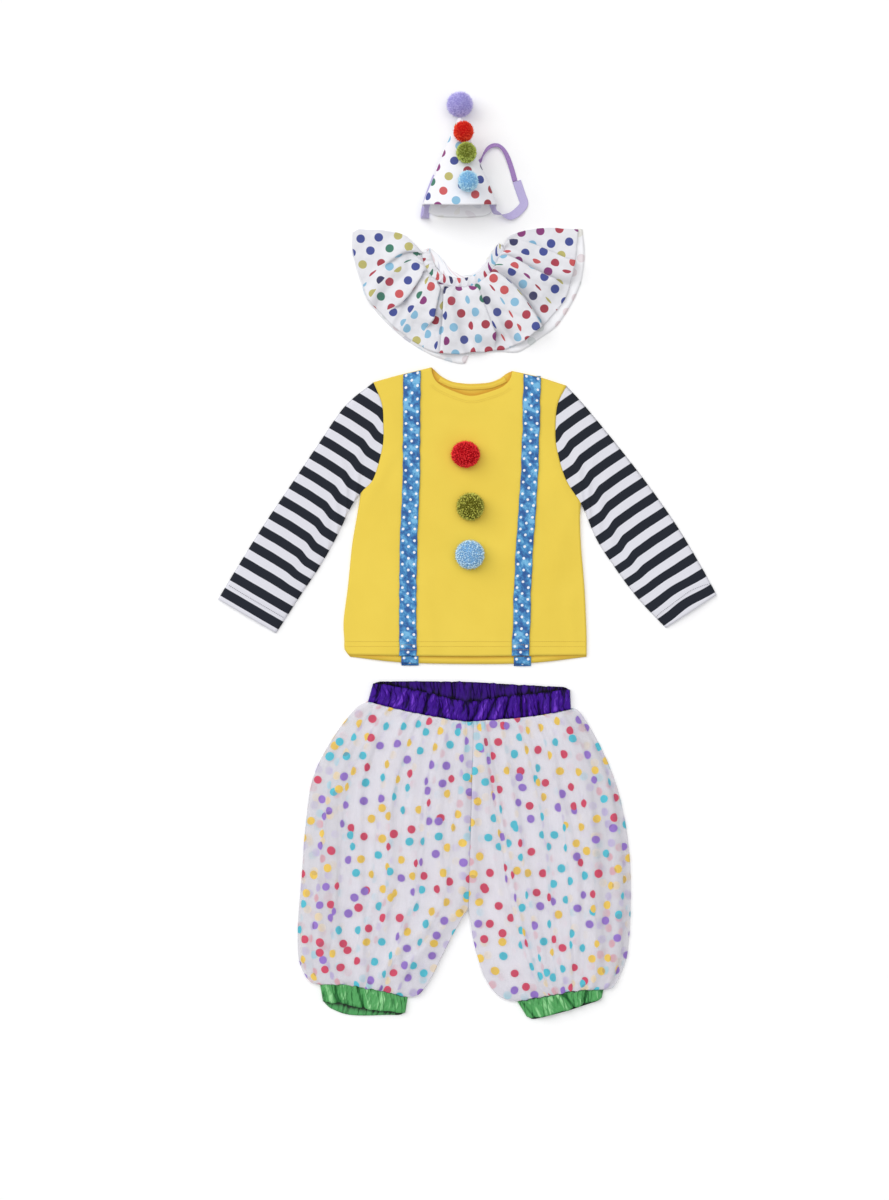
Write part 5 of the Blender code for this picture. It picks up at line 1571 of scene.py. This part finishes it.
def make_braces(side, xs, seed):
    """A front length, a back length that turns up over the hem, and their two rows of stitches."""
    middle = run(list(zip(xs, BRACE_Y)), even(230))
    across = np.linspace(-0.5, 0.5, 13)
    wobble = 0.5 * ripple(middle[:, 1], 0 * middle[:, 1], seed, 18.0)
    x = middle[:, :1] + across * (BRACE_WIDTH + 0.9 * wobble[::-1, None]) + wobble[:, None]
    shoulder = np.array((SHOULDER_LEFT,) + SHOULDER_BENDS + (SHOULDER_RIGHT,))
    reach = np.interp(x, *shoulder.T) - 0.7 - BRACE_Y[0]
    y = middle[:, 1:2] + reach * smooth((middle[:, 1:2] - 200) / (BRACE_Y[0] - 200))
    pucker = 0.34 * (1 + ripple(x * 1.3, y, seed + 1, 11.0)) * (0.3 + 2.8 * across**2)
    pucker = pucker + 0.16 * (1 + ripple(x, y, seed + 2, 5.0))
    height = front_height(x, y) + JERSEY + SEAM + 0.15 + pucker
    under = np.dstack([x, y, height])
    brace_map = np.dstack(np.broadcast_arrays(across * BRACE_WIDTH, middle[:, 1:2] + 4.0))
    front = shell(f"{side}_brace_front", lift(under, RIBBON), under, brace_map, brace_ribbon)
    hem = float(np.interp(xs[-1] + 2.0, *np.array(BACK_HEM).T)) + 0.9
    turn = BRACE_LIFT + JERSEY / 2
    over = JERSEY + RIBBON / 2 + SEAM
    x = xs[-1] + 3.0
    route = [(xs[0], BRACE_Y[0] - 1.0, RIBBON / 2, 0, 0)]
    route += [(px, py, RIBBON / 2, 0, 0) for px, py in middle[20:-20:20]]
    route += [(x, hem - 0.2, RIBBON / 2, 0, 0), (x, hem - 1.4, RIBBON / 2 + 0.6, 0, 0),
              (x, hem - 1.7, turn, 0, 0), (x, hem - 1.4, turn + over - 0.6, 0, 0),
              (x, hem - 0.2, turn + over, 0, 0), (x, hem + BRACE_TURN_UP, turn + over, 0, 0)]
    rear = strip(f"{side}_brace_back", route, BRACE_WIDTH, RIBBON, brace_ribbon, 420)
    place_piece(front, "brace_ribbon", "shirt_brace_front_" + side)
    place_piece(rear, "brace_ribbon", "shirt_brace_back_" + side)
    for number, row in enumerate((-124.5, -131.6)):
        level = np.abs(middle[:, 1] - row).argmin()
        line = under[level] + UP * (RIBBON + 0.15)
        stitch_row(f"{side}_brace_stitches_{number + 1}", line, YELLOW_THREAD, 2.6, 2.1, 0.7)


for seed, (side, xs) in enumerate(BRACES):
    make_braces(side, xs, 40 + 5 * seed)

# %% Seams of the shirt
STITCH_RISE = 0.1


def on_front(line):
    """A line in plan lifted onto the front panel's face."""
    return np.column_stack([line, front_height(*line.T) + JERSEY + STITCH_RISE])


for number, y in enumerate((-120.4, -127.3)):
    for side, ends in (("left", (-171, -98)), ("middle", (-70, 60)), ("right", (88, 163))):
        line = np.column_stack([np.linspace(*ends, 60), np.full(60, y)])
        stitch_row(f"hem_stitches_{side}_{number + 1}", on_front(line), YELLOW_THREAD)
neck_edge = edge_run(NECK_LEFT, FRONT_NECK, NECK_RIGHT, even(120))
for number, inset in enumerate((7.4, 9.8)):
    line = sideways(neck_edge, -inset)[17:-17]
    stitch_row(f"neck_stitches_{number + 1}", on_front(line), YELLOW_THREAD, width=0.45)
CUFF_STITCHES = {
    "left": ((-334.0, -42.2), (-297.0, -64.3), (-259.2, -86.2)),
    "right": ((338.0, -39.6), (324.8, -43.4), (310.8, -49.7), (296.8, -59.5), (282.8, -70.0),
              (268.8, -80.5), (263.6, -86.0)),
}
CUFF_STITCH_RISE = 0.8
for side, points in CUFF_STITCHES.items():
    room = SLEEVE_ROOM * np.sin(math.pi * (0.06 + 0.88 * even(60))) ** 0.5
    line = np.column_stack([run(points, even(60)), 2 * JERSEY + SEAM + room + CUFF_STITCH_RISE])
    stitch_row(f"{side}_sleeve_stitches", line, GREY_THREAD, width=0.75)

# %% Pompoms of the shirt
SHIRT_POMPOMS = (
    # name, x, y, width, depth, finish, slot
    ("red", -3.5, 141.0, 40.0, 37.0, "crimson_yarn", "crimson_yarn"),
    ("green", 3.2, 68.0, 38.5, 38.0, "olive_yarn", "olive_yarn"),
    ("blue", 2.4, 1.0, 40.5, 40.5, "sky_yarn", "blue_yarn"),
)
SHIRT_POMPOM_HEIGHT = 28.0
SHIRT_POMPOM_SEAT = 0.6
for seed, (colour, x, y, width, depth, finish_name, slot) in enumerate(SHIRT_POMPOMS):
    base = float(front_height(x, y)) + JERSEY + SEAM + 0.2
    centre = (x, y, base + SHIRT_POMPOM_HEIGHT / 2 * SHIRT_POMPOM_SEAT)
    size = (width, depth, SHIRT_POMPOM_HEIGHT)
    ball = pompom(f"shirt_{colour}_ball", centre, size, SHIRT_POMPOM_SEAT, 0, finish_name, 1.75,
                  20 + seed, 0.4)
    place_piece(ball, slot, "shirt_pompom_" + colour)

# %% [markdown]
# ## Trousers
#
# Each leg is a balloon: a wide sheer overlay over a narrower plain lining, both gathered into the
# waistband and the cuff. The gathers start as many small tucks at the seams, merge into a few long
# folds and open into the balloon. The long folds are drawn one by one, and the small tucks come from
# a short repeatable draw.

# %% Outline of the trousers
WAIST_BACK_TOP = ((-133.5, -176.5), (-70, -176.2), (0, -177.0), (70, -181.0), (143.4, -184.5))
WAIST_BACK_LOW = ((-139.5, -205.5), (-70, -206.0), (0, -207.0), (70, -210.5), (143.6, -214.5))
WAIST_FRONT_TOP = ((-132.5, -178.0), (-100, -183.6), (-63, -190.6), (-30.8, -198.8), (-5, -203.8),
                   (18.2, -202.6), (53.2, -197.4), (99.4, -192.8), (142.4, -187.0))
WAIST_FRONT_LOW = ((-140.8, -204.4), (-98, -214.9), (-53.9, -224.1), (-7.4, -231.7),
                   (13.4, -231.2), (76.2, -226.5), (111, -221.9), (144.5, -216.0))
CENTRE_X = 8.0
CROTCH = (0.6, -493.5)
LEGS = {
    "left": {
        "side": ((-158, -215.5), (-189, -255.5), (-217, -311.5), (-227.5, -380), (-233, -451.5),
                 (-238, -515), (-237.0, -563.5), (-226.8, -589.5), (-216, -599.0)),
        "inseam": ((-8.4, -507.5), (-23.8, -535.5), (-37.8, -563.5), (-51.8, -591.5), (-66, -611.5),
                   (-76, -617.0)),
        "cuff": ((-208.0, -595.5), (-170, -597.5), (-130, -605.3), (-84.3, -617.4)),
        "front": ((-204.6, -624.2), (-177, -626.6), (-151, -632.6), (-108, -637.6), (-87.3, -641.4)),
        "back": ((-201.6, -629.5), (-174.9, -641.2), (-149.2, -644.1), (-110, -643.3),
                 (-88.3, -644.2)),
        "lining": ((-134, -217), (-154, -246.4), (-170.8, -276.5), (-180.6, -308), (-182, -400),
                   (-184, -500), (-198, -570)),
    },
    "right": {
        "side": ((155.5, -218.5), (179.2, -255.5), (204.4, -311.5), (219, -367.5), (226.8, -430),
                 (227.5, -500), (223, -558), (214, -586), (203, -604.0)),
        "inseam": ((3.0, -507.5), (7.0, -535.5), (14.0, -563.5), (24.0, -591.5), (40.0, -613.5),
                   (56, -622.0)),
        "cuff": ((190.0, -606.8), (160.0, -607.0), (120.0, -613.5), (68.7, -623.4)),
        "front": ((187.5, -621.2), (163.4, -627.3), (139.9, -635.4), (98.6, -645.9), (82.3, -647.4)),
        "back": ((187.5, -622.2), (163.4, -629.6), (139.9, -637.4), (98.6, -648.1), (82.3, -649.4)),
        "lining": ((134, -222), (150, -250.4), (164.8, -280.5), (172.6, -312), (176, -400),
                   (178, -500), (184, -570)),
    },
}
LEG_ROWS = (7, 4)
WAIST_SCALLOPS, CUFF_SCALLOPS = 0.6, 1.5
ROOM = 3.2
LINING_INSET = 4.0
ON_BACK = OVERLAY + LINING + 2 * SEAM
SIDE_DROP = 13.0
LEG_CROWN = 6.0
OVER_EASE = 0.5

# %% Long folds of the legs
LEG_FOLDS = {
    # height, widths of its two sides, and the crest's points from the waist down
    "left": (
        (2.6, 9, 5, ((-118, -222), (-134, -262), (-150, -330), (-151, -420), (-149, -520), (-145, -590))),
        (2.8, 12, 7, ((-88, -228), (-100, -280), (-109, -360), (-109, -440), (-118, -520))),
        (2.2, 8, 10, ((-60, -232), (-74, -290), (-80, -370), (-76, -440))),
        (2.4, 10, 6, ((-30, -236), (-38, -300), (-42, -380), (-34, -450), (-10, -500))),
        (3.0, 8, 6, ((-8, -240), (-6, -330), (-4, -430), (-12, -500))),
        (2.8, 6, 9, ((-15, -500), (-52, -540), (-86, -574), (-112, -602))),
        (2.2, 6, 7, ((-60, -520), (-104, -560), (-132, -600))),
        (2.0, 9, 6, ((-158, -250), (-178, -310), (-184, -400), (-186, -500), (-176, -590))),
        (1.8, 7, 7, ((-196, -330), (-206, -420), (-210, -520), (-200, -588))),
        (2.4, 6, 6, ((-130, -480), (-146, -540), (-150, -600))),
        (1.8, 7, 5, ((-90, -500), (-96, -550), (-98, -606))),
    ),
    "right": (
        (2.8, 7, 8, ((16, -238), (22, -300), (30, -380), (44, -470), (66, -550), (96, -612))),
        (2.6, 9, 6, ((44, -236), (54, -290), (66, -360), (84, -450), (100, -540), (116, -608))),
        (2.2, 8, 10, ((70, -233), (82, -290), (92, -360), (98, -430))),
        (3.0, 10, 5, ((100, -230), (118, -280), (126, -330), (142, -390), (152, -450), (150, -560))),
        (2.4, 9, 8, ((128, -226), (150, -280), (168, -350), (178, -440), (182, -540), (176, -600))),
        (2.0, 7, 7, ((176, -268), (196, -330), (206, -420), (208, -520), (196, -596))),
        (2.6, 7, 6, ((10, -300), (6, -400), (14, -480), (30, -560), (62, -616))),
        (2.0, 8, 6, ((130, -470), (138, -540), (140, -604))),
        (1.8, 6, 8, ((60, -420), (72, -500), (84, -560))),
    ),
}


# %% Leg panels in plan
def waist_place(x):
    left, right = WAIST_FRONT_LOW[0][0], WAIST_FRONT_LOW[-1][0]
    return (x - left) / (right - left)


def scalloped(points, places, depth, seed):
    """A gathered seam: a line through points that waves a little where the tucks press on it."""
    line = run(points, places)
    ends = np.sin(math.pi * (line[:, 0] - line[0, 0]) / (line[-1, 0] - line[0, 0])) ** 0.4
    line[:, 1] += depth * ripple(line[:, 0], 0 * line[:, 0], seed, 11.0) * ends
    return line


def band_room(place):
    """Inside height of a flattened band at a place across it, 0 to 1."""
    return SEAM + ROOM * np.sin(math.pi * np.clip(place, 0, 1)) ** 0.5


def leg_panel(side, waist, outer, rows, columns, inset=0.0):
    """One leg panel in plan, between its waist, cuff, outer side and inner side."""
    leg = LEGS[side]
    sign = -1 if side == "left" else 1
    top_rows, low_rows = (rows * part // sum(LEG_ROWS) for part in LEG_ROWS)
    centre = np.array([CENTRE_X + sign * SEWN / 2, 0.0])
    line = scalloped(waist, even(200), WAIST_SCALLOPS, 55) - np.array([0.0, 3 * SEWN])
    middle_y = np.interp(centre[0], line[:, 0], line[:, 1])
    outer_x = line[0, 0] + inset if sign < 0 else line[-1, 0] - inset
    xs = outer_x + (centre[0] - outer_x) * even(columns)
    waist_edge = np.column_stack([xs, np.interp(xs, line[:, 0], line[:, 1])])
    cuff = scalloped(leg["cuff"], even(columns), CUFF_SCALLOPS, 56)
    side_edge = edge_run(waist_edge[0], outer, cuff[0], even(top_rows + low_rows))
    crotch = (CROTCH[0] + sign * SEWN / 2, CROTCH[1])
    inner_edge = joined(
        run(((centre[0], middle_y), crotch), even(top_rows)),
        edge_run(crotch, leg["inseam"], cuff[-1], even(low_rows)),
    )
    return patch(waist_edge, cuff, side_edge, inner_edge)


# %% Heights of the leg panels
def front_base(flat):
    """Underside of a front panel before its folds: level with the bands at waist and cuff, and
    down on the back between them."""
    u, down = grid_places(flat)
    at_waist = BAND + band_room(waist_place(flat[:1, :, 0]))
    at_cuff = np.maximum(CUFF + band_room(u), ON_BACK)
    height = ON_BACK + (at_waist - ON_BACK) * smooth(1 - down * 5)
    return height + (at_cuff - height) * smooth((down - 0.84) * 7)

# %% Folds of an overlay
OVERLAY_FULL = 300.0  # width of a leg's overlay before it is gathered
GATHERS = 11  # small lengthwise folds that the gathers send down a leg
GATHER_FAN = {"left": 0.20, "right": 0.36}  # how far those from the middle seam lean outwards
PRINT_SHIFT = {"left": 0.0, "right": 214.0}  # so that the legs don't have the same spots


def overlay_folds(side, flat):
    """Folds of a front overlay, where its cloth lies doubled, and its cloth map."""
    x, y = flat[..., 0], flat[..., 1]
    u, down = grid_places(flat)
    long_folds = sum(fold_line(x, y, fold) for fold in LEG_FOLDS[side])
    top, end = distances(flat, flat[:1]), distances(flat, flat[-1:])
    seed = 60 if side == "left" else 70
    small = tucks(u, top, seed, 17, 26.0, 2.2) + tucks(u, end, seed + 1, 13, 24.0, 2.4)
    draw = np.random.default_rng(seed + 2)
    length = row_lengths(flat)
    shares = draw.uniform(0.4, 1.6, GATHERS)
    taken = 0.9 * (OVERLAY_FULL - length.max()) * shares / shares.sum()
    across = x - taken.sum() / 2
    doubled = smooth(long_folds / 2.6 - 0.25) * 0.2
    starts = (np.arange(GATHERS) + draw.uniform(0.15, 0.85, GATHERS)) / GATHERS
    for place, hidden in zip(starts, taken):
        path = place + draw.uniform(-0.035, 0.035) * down + draw.uniform(-0.02, 0.02) * np.sin(4 * down)
        path = path - GATHER_FAN[side] * place**3 * down
        aside = (u - path) * length * (1 if side == "left" else -1)
        across = across + hidden * smooth(aside / 3.5 + 0.5)
        small = small + 0.16 * hidden * uneven_ridge(aside, 5.0, 2.4) * smooth(top / 30) * smooth(end / 30)
        doubled = doubled + 0.5 * smooth(hidden / 7.0) * ridge(aside - 3.0, 4.0)
    inner, outer = distances(flat, flat[:, -1:]), distances(flat, flat[:, :1])
    doubled = doubled + 0.8 * ridge(inner, 16.0) + 0.45 * ridge(end, 26.0) + 0.3 * ridge(top, 14.0)
    doubled = doubled + 0.8 * ridge(outer - 26.0, 16.0) * smooth(down * 3)
    return long_folds, small, np.clip(doubled, 0.0, 1.0), np.dstack([across + PRINT_SHIFT[side], y])


# %% Heights of an overlay
def overlay_height(side, flat):
    """Underside of a front overlay: puffed over the lining, and down on the back overlay along
    its outer side, where there is no lining."""
    u, down = grid_places(flat)
    ends = off_ends(down, 6)
    below = smooth((down - LEG_ROWS[0] / sum(LEG_ROWS) + 0.10) * 9)
    inner = 1.0 - below * (1.0 - smooth((1 - u) * 5))
    long_folds, small, doubled, cloth_map = overlay_folds(side, flat)
    puff = LEG_CROWN * smooth(u * 4) * inner * (0.12 + 0.88 * ends)
    grown = 0.35 + 0.65 * ends
    folds = (long_folds * grown + small) * smooth(u * 12) * (0.4 + 0.6 * inner)
    height = front_base(flat) + LINING + SEAM + OVER_EASE + puff + folds
    height = height + 0.35 * (1 + ripple(flat[..., 0], flat[..., 1] * 0.4, 33, 18.0)) * ends
    drop = (1 - smooth(distances(flat, flat[:, :1]) / SIDE_DROP)) * off_ends(down, 9)
    return height + (OVERLAY + SEAM - height) * drop, doubled, cloth_map

# %% Overlay and lining
for side, leg in LEGS.items():
    flat = leg_panel(side, WAIST_FRONT_LOW, leg["side"], 176, 126)
    height, doubled, cloth_map = overlay_height(side, flat)
    piece = panel(f"{side}_overlay_front", raised(flat, height), OVERLAY, spotted_overlay,
                  (1.0, 1.0), (("doubled", doubled),), cloth_map)
    place_piece(piece, "spotted_overlay", "pants_overlay_front_" + side)
    flat = leg_panel(side, WAIST_BACK_LOW, leg["side"], 88, 44)
    piece = panel(f"{side}_overlay_back", raised(flat, 0.0), OVERLAY, spotted_overlay,
                  (1.0, 1.0), (("doubled", 0.0),), flat[..., :2] * (-1.0, 1.0) + (9.0, 13.0),
                  level=True)
    place_piece(piece, "spotted_overlay", "pants_overlay_back_" + side)
    flat = leg_panel(side, WAIST_FRONT_LOW, leg["lining"], 88, 44, LINING_INSET)
    piece = panel(f"{side}_lining_front", raised(flat, front_base(flat)), LINING, trouser_lining)
    place_piece(piece, "trouser_lining", "pants_lining_front_" + side)
    flat = leg_panel(side, WAIST_BACK_LOW, leg["lining"], 66, 33, LINING_INSET)
    piece = panel(f"{side}_lining_back", raised(flat, OVERLAY + SEAM), LINING, trouser_lining,
                  level=True)
    place_piece(piece, "trouser_lining", "pants_lining_back_" + side)

# %% [markdown]
# The waistband and the cuffs are satin gathered on elastic. Elastic pulls the satin into short upright
# wrinkles, sharp where they are pinched and rounded between, and no two are alike. The cuffs are less
# tight and have a few broad folds instead.


# %% Wrinkled satin
def wrinkles(across, down, creases):
    """Height of upright creases. Each is its place across, its tilt, its two widths and its
    height, in millimetres, and where it starts and ends down the band if it isn't the whole way."""
    total = 0.0
    for place, tilt, before, after, height, *window in creases:
        start, stop = window or (0.0, 1.0)
        aside = across - place - tilt * (down - 0.5)
        window = smooth((down - start + 0.2) * 5) * smooth((stop + 0.2 - down) * 5)
        total = total + height * uneven_ridge(aside, before, after) * window
    return total


def drawn_creases(seed, length, spacing, height):
    """A repeatable draw of creases along a band, between a third and twice the spacing apart."""
    draw = np.random.default_rng(seed)
    creases = []
    place = spacing * 0.5
    while place < length:
        rise = height * draw.uniform(-1.0, 1.0)
        start = draw.uniform(-0.3, 0.45)
        creases.append((place, draw.uniform(-7, 7), draw.uniform(1.2, 3.6), draw.uniform(1.2, 3.6),
                        rise, start, start + draw.uniform(0.4, 1.2)))
        place += spacing * draw.uniform(0.35, 1.6)
    return creases

# %% Creases of the waistband, and the shade and highlights painted on them
WAIST_MAIN = (
    (10, 3, 1.6, 2.4, -2.0), (18, 6, 3, 4, 1.8), (29, 4, 1.5, 1.5, -1.8, 0.2, 1.0),
    (44, -8, 5, 3, 2.0), (54, -4, 1.5, 1.5, -2.0, 0.0, 0.8), (63, 5, 4, 5, 1.6, 0.2, 1.0),
    (80, -2, 1.6, 1.6, -3.2), (88, 0, 4, 3, 1.8), (99, 2, 1.6, 1.6, -2.8),
    (110, 12, 5, 3, 1.8), (124, -5, 3, 5, 1.6, 0.0, 0.8), (140, 8, 2, 2, -2.2, 0.1, 1.0),
    (151, -10, 1.6, 2.4, -3.0), (160, -12, 5, 3, 2.2),
    (172, -12, 1.5, 2.4, -2.8), (181, -10, 3, 5, 1.8),
    (194, -9, 1.6, 2, -3.0), (206, 3, 5, 4, 1.8), (215, 0, 1.5, 1.5, -2.4),
    (226, 2, 4, 3, 1.6), (238, 4, 1.5, 1.5, -2.6), (247, 3, 4, 3, 1.8, 0.0, 0.9),
    (256, -3, 1.5, 1.5, -2.2), (264, -2, 4, 3, 1.6), (276, -2, 2, 2, -1.6, 0.1, 1.0),
)


def satin_painted_light(creases, down):
    """Mark of painted light on a creased band: painted shade in its hollows and along its two edges,
    and painted highlights on its crests.
    """
    return np.clip(creases / 3.2 - 0.5 * near_ends(down, 0.05), -1.0, 0.9)


# %% Plan of a band
def band_grid(upper, lower, rows):
    return patch(upper, lower, *(run((upper[end], lower[end]), even(rows)) for end in (0, -1)))


def band_places(columns, rows, width):
    """Places across a band and down it, lengths across it, and how free its creases are there."""
    places = even(columns)
    calm = np.sin(math.pi * places)[None, :] ** 0.25
    return places, even(rows)[:, None], places[None, :] * width, calm

# %% Waistband
WAIST_WIDTH = 284.0
places, down, length, calm = band_places(280, 22, WAIST_WIDTH)
low, top = (band_grid(run(upper, places), scalloped(lower, places, WAIST_SCALLOPS, 55), 22)
            for upper, lower in ((WAIST_BACK_TOP, WAIST_BACK_LOW), (WAIST_FRONT_TOP, WAIST_FRONT_LOW)))
front_creases = wrinkles(length, down, WAIST_MAIN + tuple(drawn_creases(81, WAIST_WIDTH, 5.5, 1.3)))
back_creases = wrinkles(length, down, drawn_creases(82, WAIST_WIDTH, 5.5, 2.2))
height = 2 * BAND + band_room(places)[None, :] + (front_creases + 1.2) * calm
height = height - 1.3 * near_ends(down, 0.07)
for flat, creases in ((low, back_creases), (top, front_creases)):
    flat[..., 1] += (0.44 * creases * calm * (1 - down) - 2.0 * near_ends(length, 5.0)) * (1 - down)
# Painted light on both faces: shade in the hollows and highlights on the crests, and a painted shadow on
# the back's inner face along the front's top edge.
front_edge = np.interp(low[..., 0], *run(WAIST_FRONT_TOP, places).T)
painted_tones = [satin_painted_light(back_creases * 1.3, down) - 0.9 * ridge(low[..., 1] - front_edge, 3.5),
         satin_painted_light(front_creases, down)]
waistband = flat_ring("waistband", low, top, height, BAND, purple_satin, (1.0, 0.0),
                      np.clip(0.9 + 0.5 * back_creases, 0.0, 2.4) * calm, painted_tones=painted_tones)
place_piece(waistband, "purple_satin", "pants_waistband")

# %% Cuffs
CUFF_FOLDS = {
    "left": ((10, 10, 4, 5, 2.4), (22, 5, 3, 3, -2.0, 0.3, 1.0), (34, -4, 7, 4, 2.2, 0.0, 0.7),
             (56, 9, 1.8, 2.4, -3.2), (66, 6, 3, 6, 1.8), (88, -5, 9, 8, 2.0),
             (108, 2, 4, 3, 1.4, 0.1, 1.0)),
    "right": ((8, -6, 3, 3, 1.8), (26, 6, 1.8, 2.4, -3.0), (34, 5, 3, 6, 2.0),
              (52, -12, 2, 2, -3.0, 0.2, 1.0), (60, -10, 3, 5, 2.6), (82, 8, 9, 9, 2.0),
              (104, -8, 4, 3, 2.2, 0.2, 1.0), (113, -8, 2, 2, -2.0)),
}
CUFF_WIDTH = 122.0
places, down, length, calm = band_places(124, 24, CUFF_WIDTH)
for seed, (side, leg) in zip((91, 95), LEGS.items()):
    seam = scalloped(leg["cuff"], places, CUFF_SCALLOPS, 56) - np.array([0.0, 3 * SEWN])
    low, top = (band_grid(seam, run(leg[face], places), 24) for face in ("back", "front"))
    creases = CUFF_FOLDS[side] + tuple(drawn_creases(seed, CUFF_WIDTH, 11.0, 1.0))
    creases = wrinkles(length, down, creases)
    height = 2 * CUFF + band_room(places)[None, :] + (creases + 1.0) * calm
    height = height - 0.9 * near_ends(down, 0.07)
    top[..., 1] -= 0.5 * creases * down**2 * calm
    for flat in (low, top):
        flat[..., 1] += 2.6 * near_ends(length, 5.0) * down
    # Painted shadow inside the cuff's opening, just below the front's lower edge, and painted shade and
    # highlights on the creases.
    front_edge = np.interp(low[..., 0], *np.array(sorted(run(leg["front"], places).tolist())).T)
    shaded_hollow = 0.4 - 1.5 * ridge(front_edge - low[..., 1], 4.5)
    painted_tones = [shaded_hollow + 0.3 * satin_painted_light(creases, down), satin_painted_light(creases, down)]
    cuff = flat_ring(f"{side}_cuff", low, top, height, CUFF, green_satin, (1.0, 0.0), painted_tones=painted_tones)
    place_piece(cuff, "green_satin", "pants_cuff_" + side)
    line = np.column_stack([seam - (0.0, 0.9), height[1] + 0.3])[5:-5]
    stitch_row(f"{side}_cuff_stitches", line, DARK_THREAD, 1.9, 1.9, 0.8)

# %% [markdown]
# Every length of cloth is listed with the size it was cut to, and printed with its rows of
# stitches. A tube or a ring is given all round, and a gathered piece at its full width before it
# was gathered, so its flat area is larger than what can be seen of it. The seam stitches go with
# the cloth they are sewn to.

# %% Cut sizes of the cloth
CUTS = (
    # piece, width, length and flat area in metres, how it is held, and what it lies on. A row
    # with SIDE in it stands for a left and a right piece.
    ("felt_cone", 0.224, 0.142, 0.0182, "folded", ()),
    ("chin_ribbon_left", 0.012, 0.105, 0.00126, "laid", ("felt_cone",)),
    ("chin_ribbon_right", 0.012, 0.122, 0.00146, "laid", ("felt_cone",)),
    ("neckband", 0.330, 0.013, 0.00429, "gathered", ()),
    ("back_frill", 0.520, 0.104, 0.0541, "gathered", ()),
    ("front_frill", 0.520, 0.104, 0.0541, "gathered", ("back_frill",)),
    ("shirt_back_panel", 0.341, 0.416, 0.1190, "laid", ()),
    ("shirt_front_panel", 0.341, 0.406, 0.1150, "laid", ("shirt_back_panel",)),
    ("SIDE_sleeve", 0.284, 0.345, 0.0620, "laid", ()),
    ("SIDE_brace_back", 0.024, 0.420, 0.01008, "laid", ()),
    ("SIDE_brace_front", 0.024, 0.394, 0.00946, "laid", ("shirt_front_panel",)),
    ("SIDE_overlay_back", 0.300, 0.420, 0.1040, "gathered", ()),
    ("SIDE_overlay_front", 0.300, 0.420, 0.1040, "gathered", ("SIDE_lining_front",)),
    ("SIDE_lining_back", 0.216, 0.416, 0.0700, "gathered", ("SIDE_overlay_back",)),
    ("SIDE_lining_front", 0.216, 0.416, 0.0700, "gathered", ("SIDE_lining_back",)),
    ("waistband", 0.780, 0.031, 0.0234, "gathered", ()),
    ("SIDE_cuff", 0.290, 0.030, 0.0084, "gathered", ()),
)
SEWN_ROWS = {"shirt_front_panel": ("hem_stitches", "neck_stitches")}
for label, width, length, area, held, rests in CUTS:
    for side in ("left", "right") if "SIDE" in label else ("",):
        name, *below = (part.replace("SIDE", side) for part in (label, *rests))
        stem = SEWN_ROWS.get(name, (name.replace("_front", "") + "_stitches",))
        rows = [made for made in bpy.data.objects if made.name.startswith(stem)]
        print(f"{name}: cut {width * 1000:.0f} x {length * 1000:.0f} mm, {len(rows)} rows of stitches")

# %% Totals
print(len(TOTALS), "pieces,", sum(TOTALS.values()), "triangles")
low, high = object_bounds()
print("visual model", [round((high[axis] - low[axis]) * 1000, 1) for axis in range(3)], "mm")
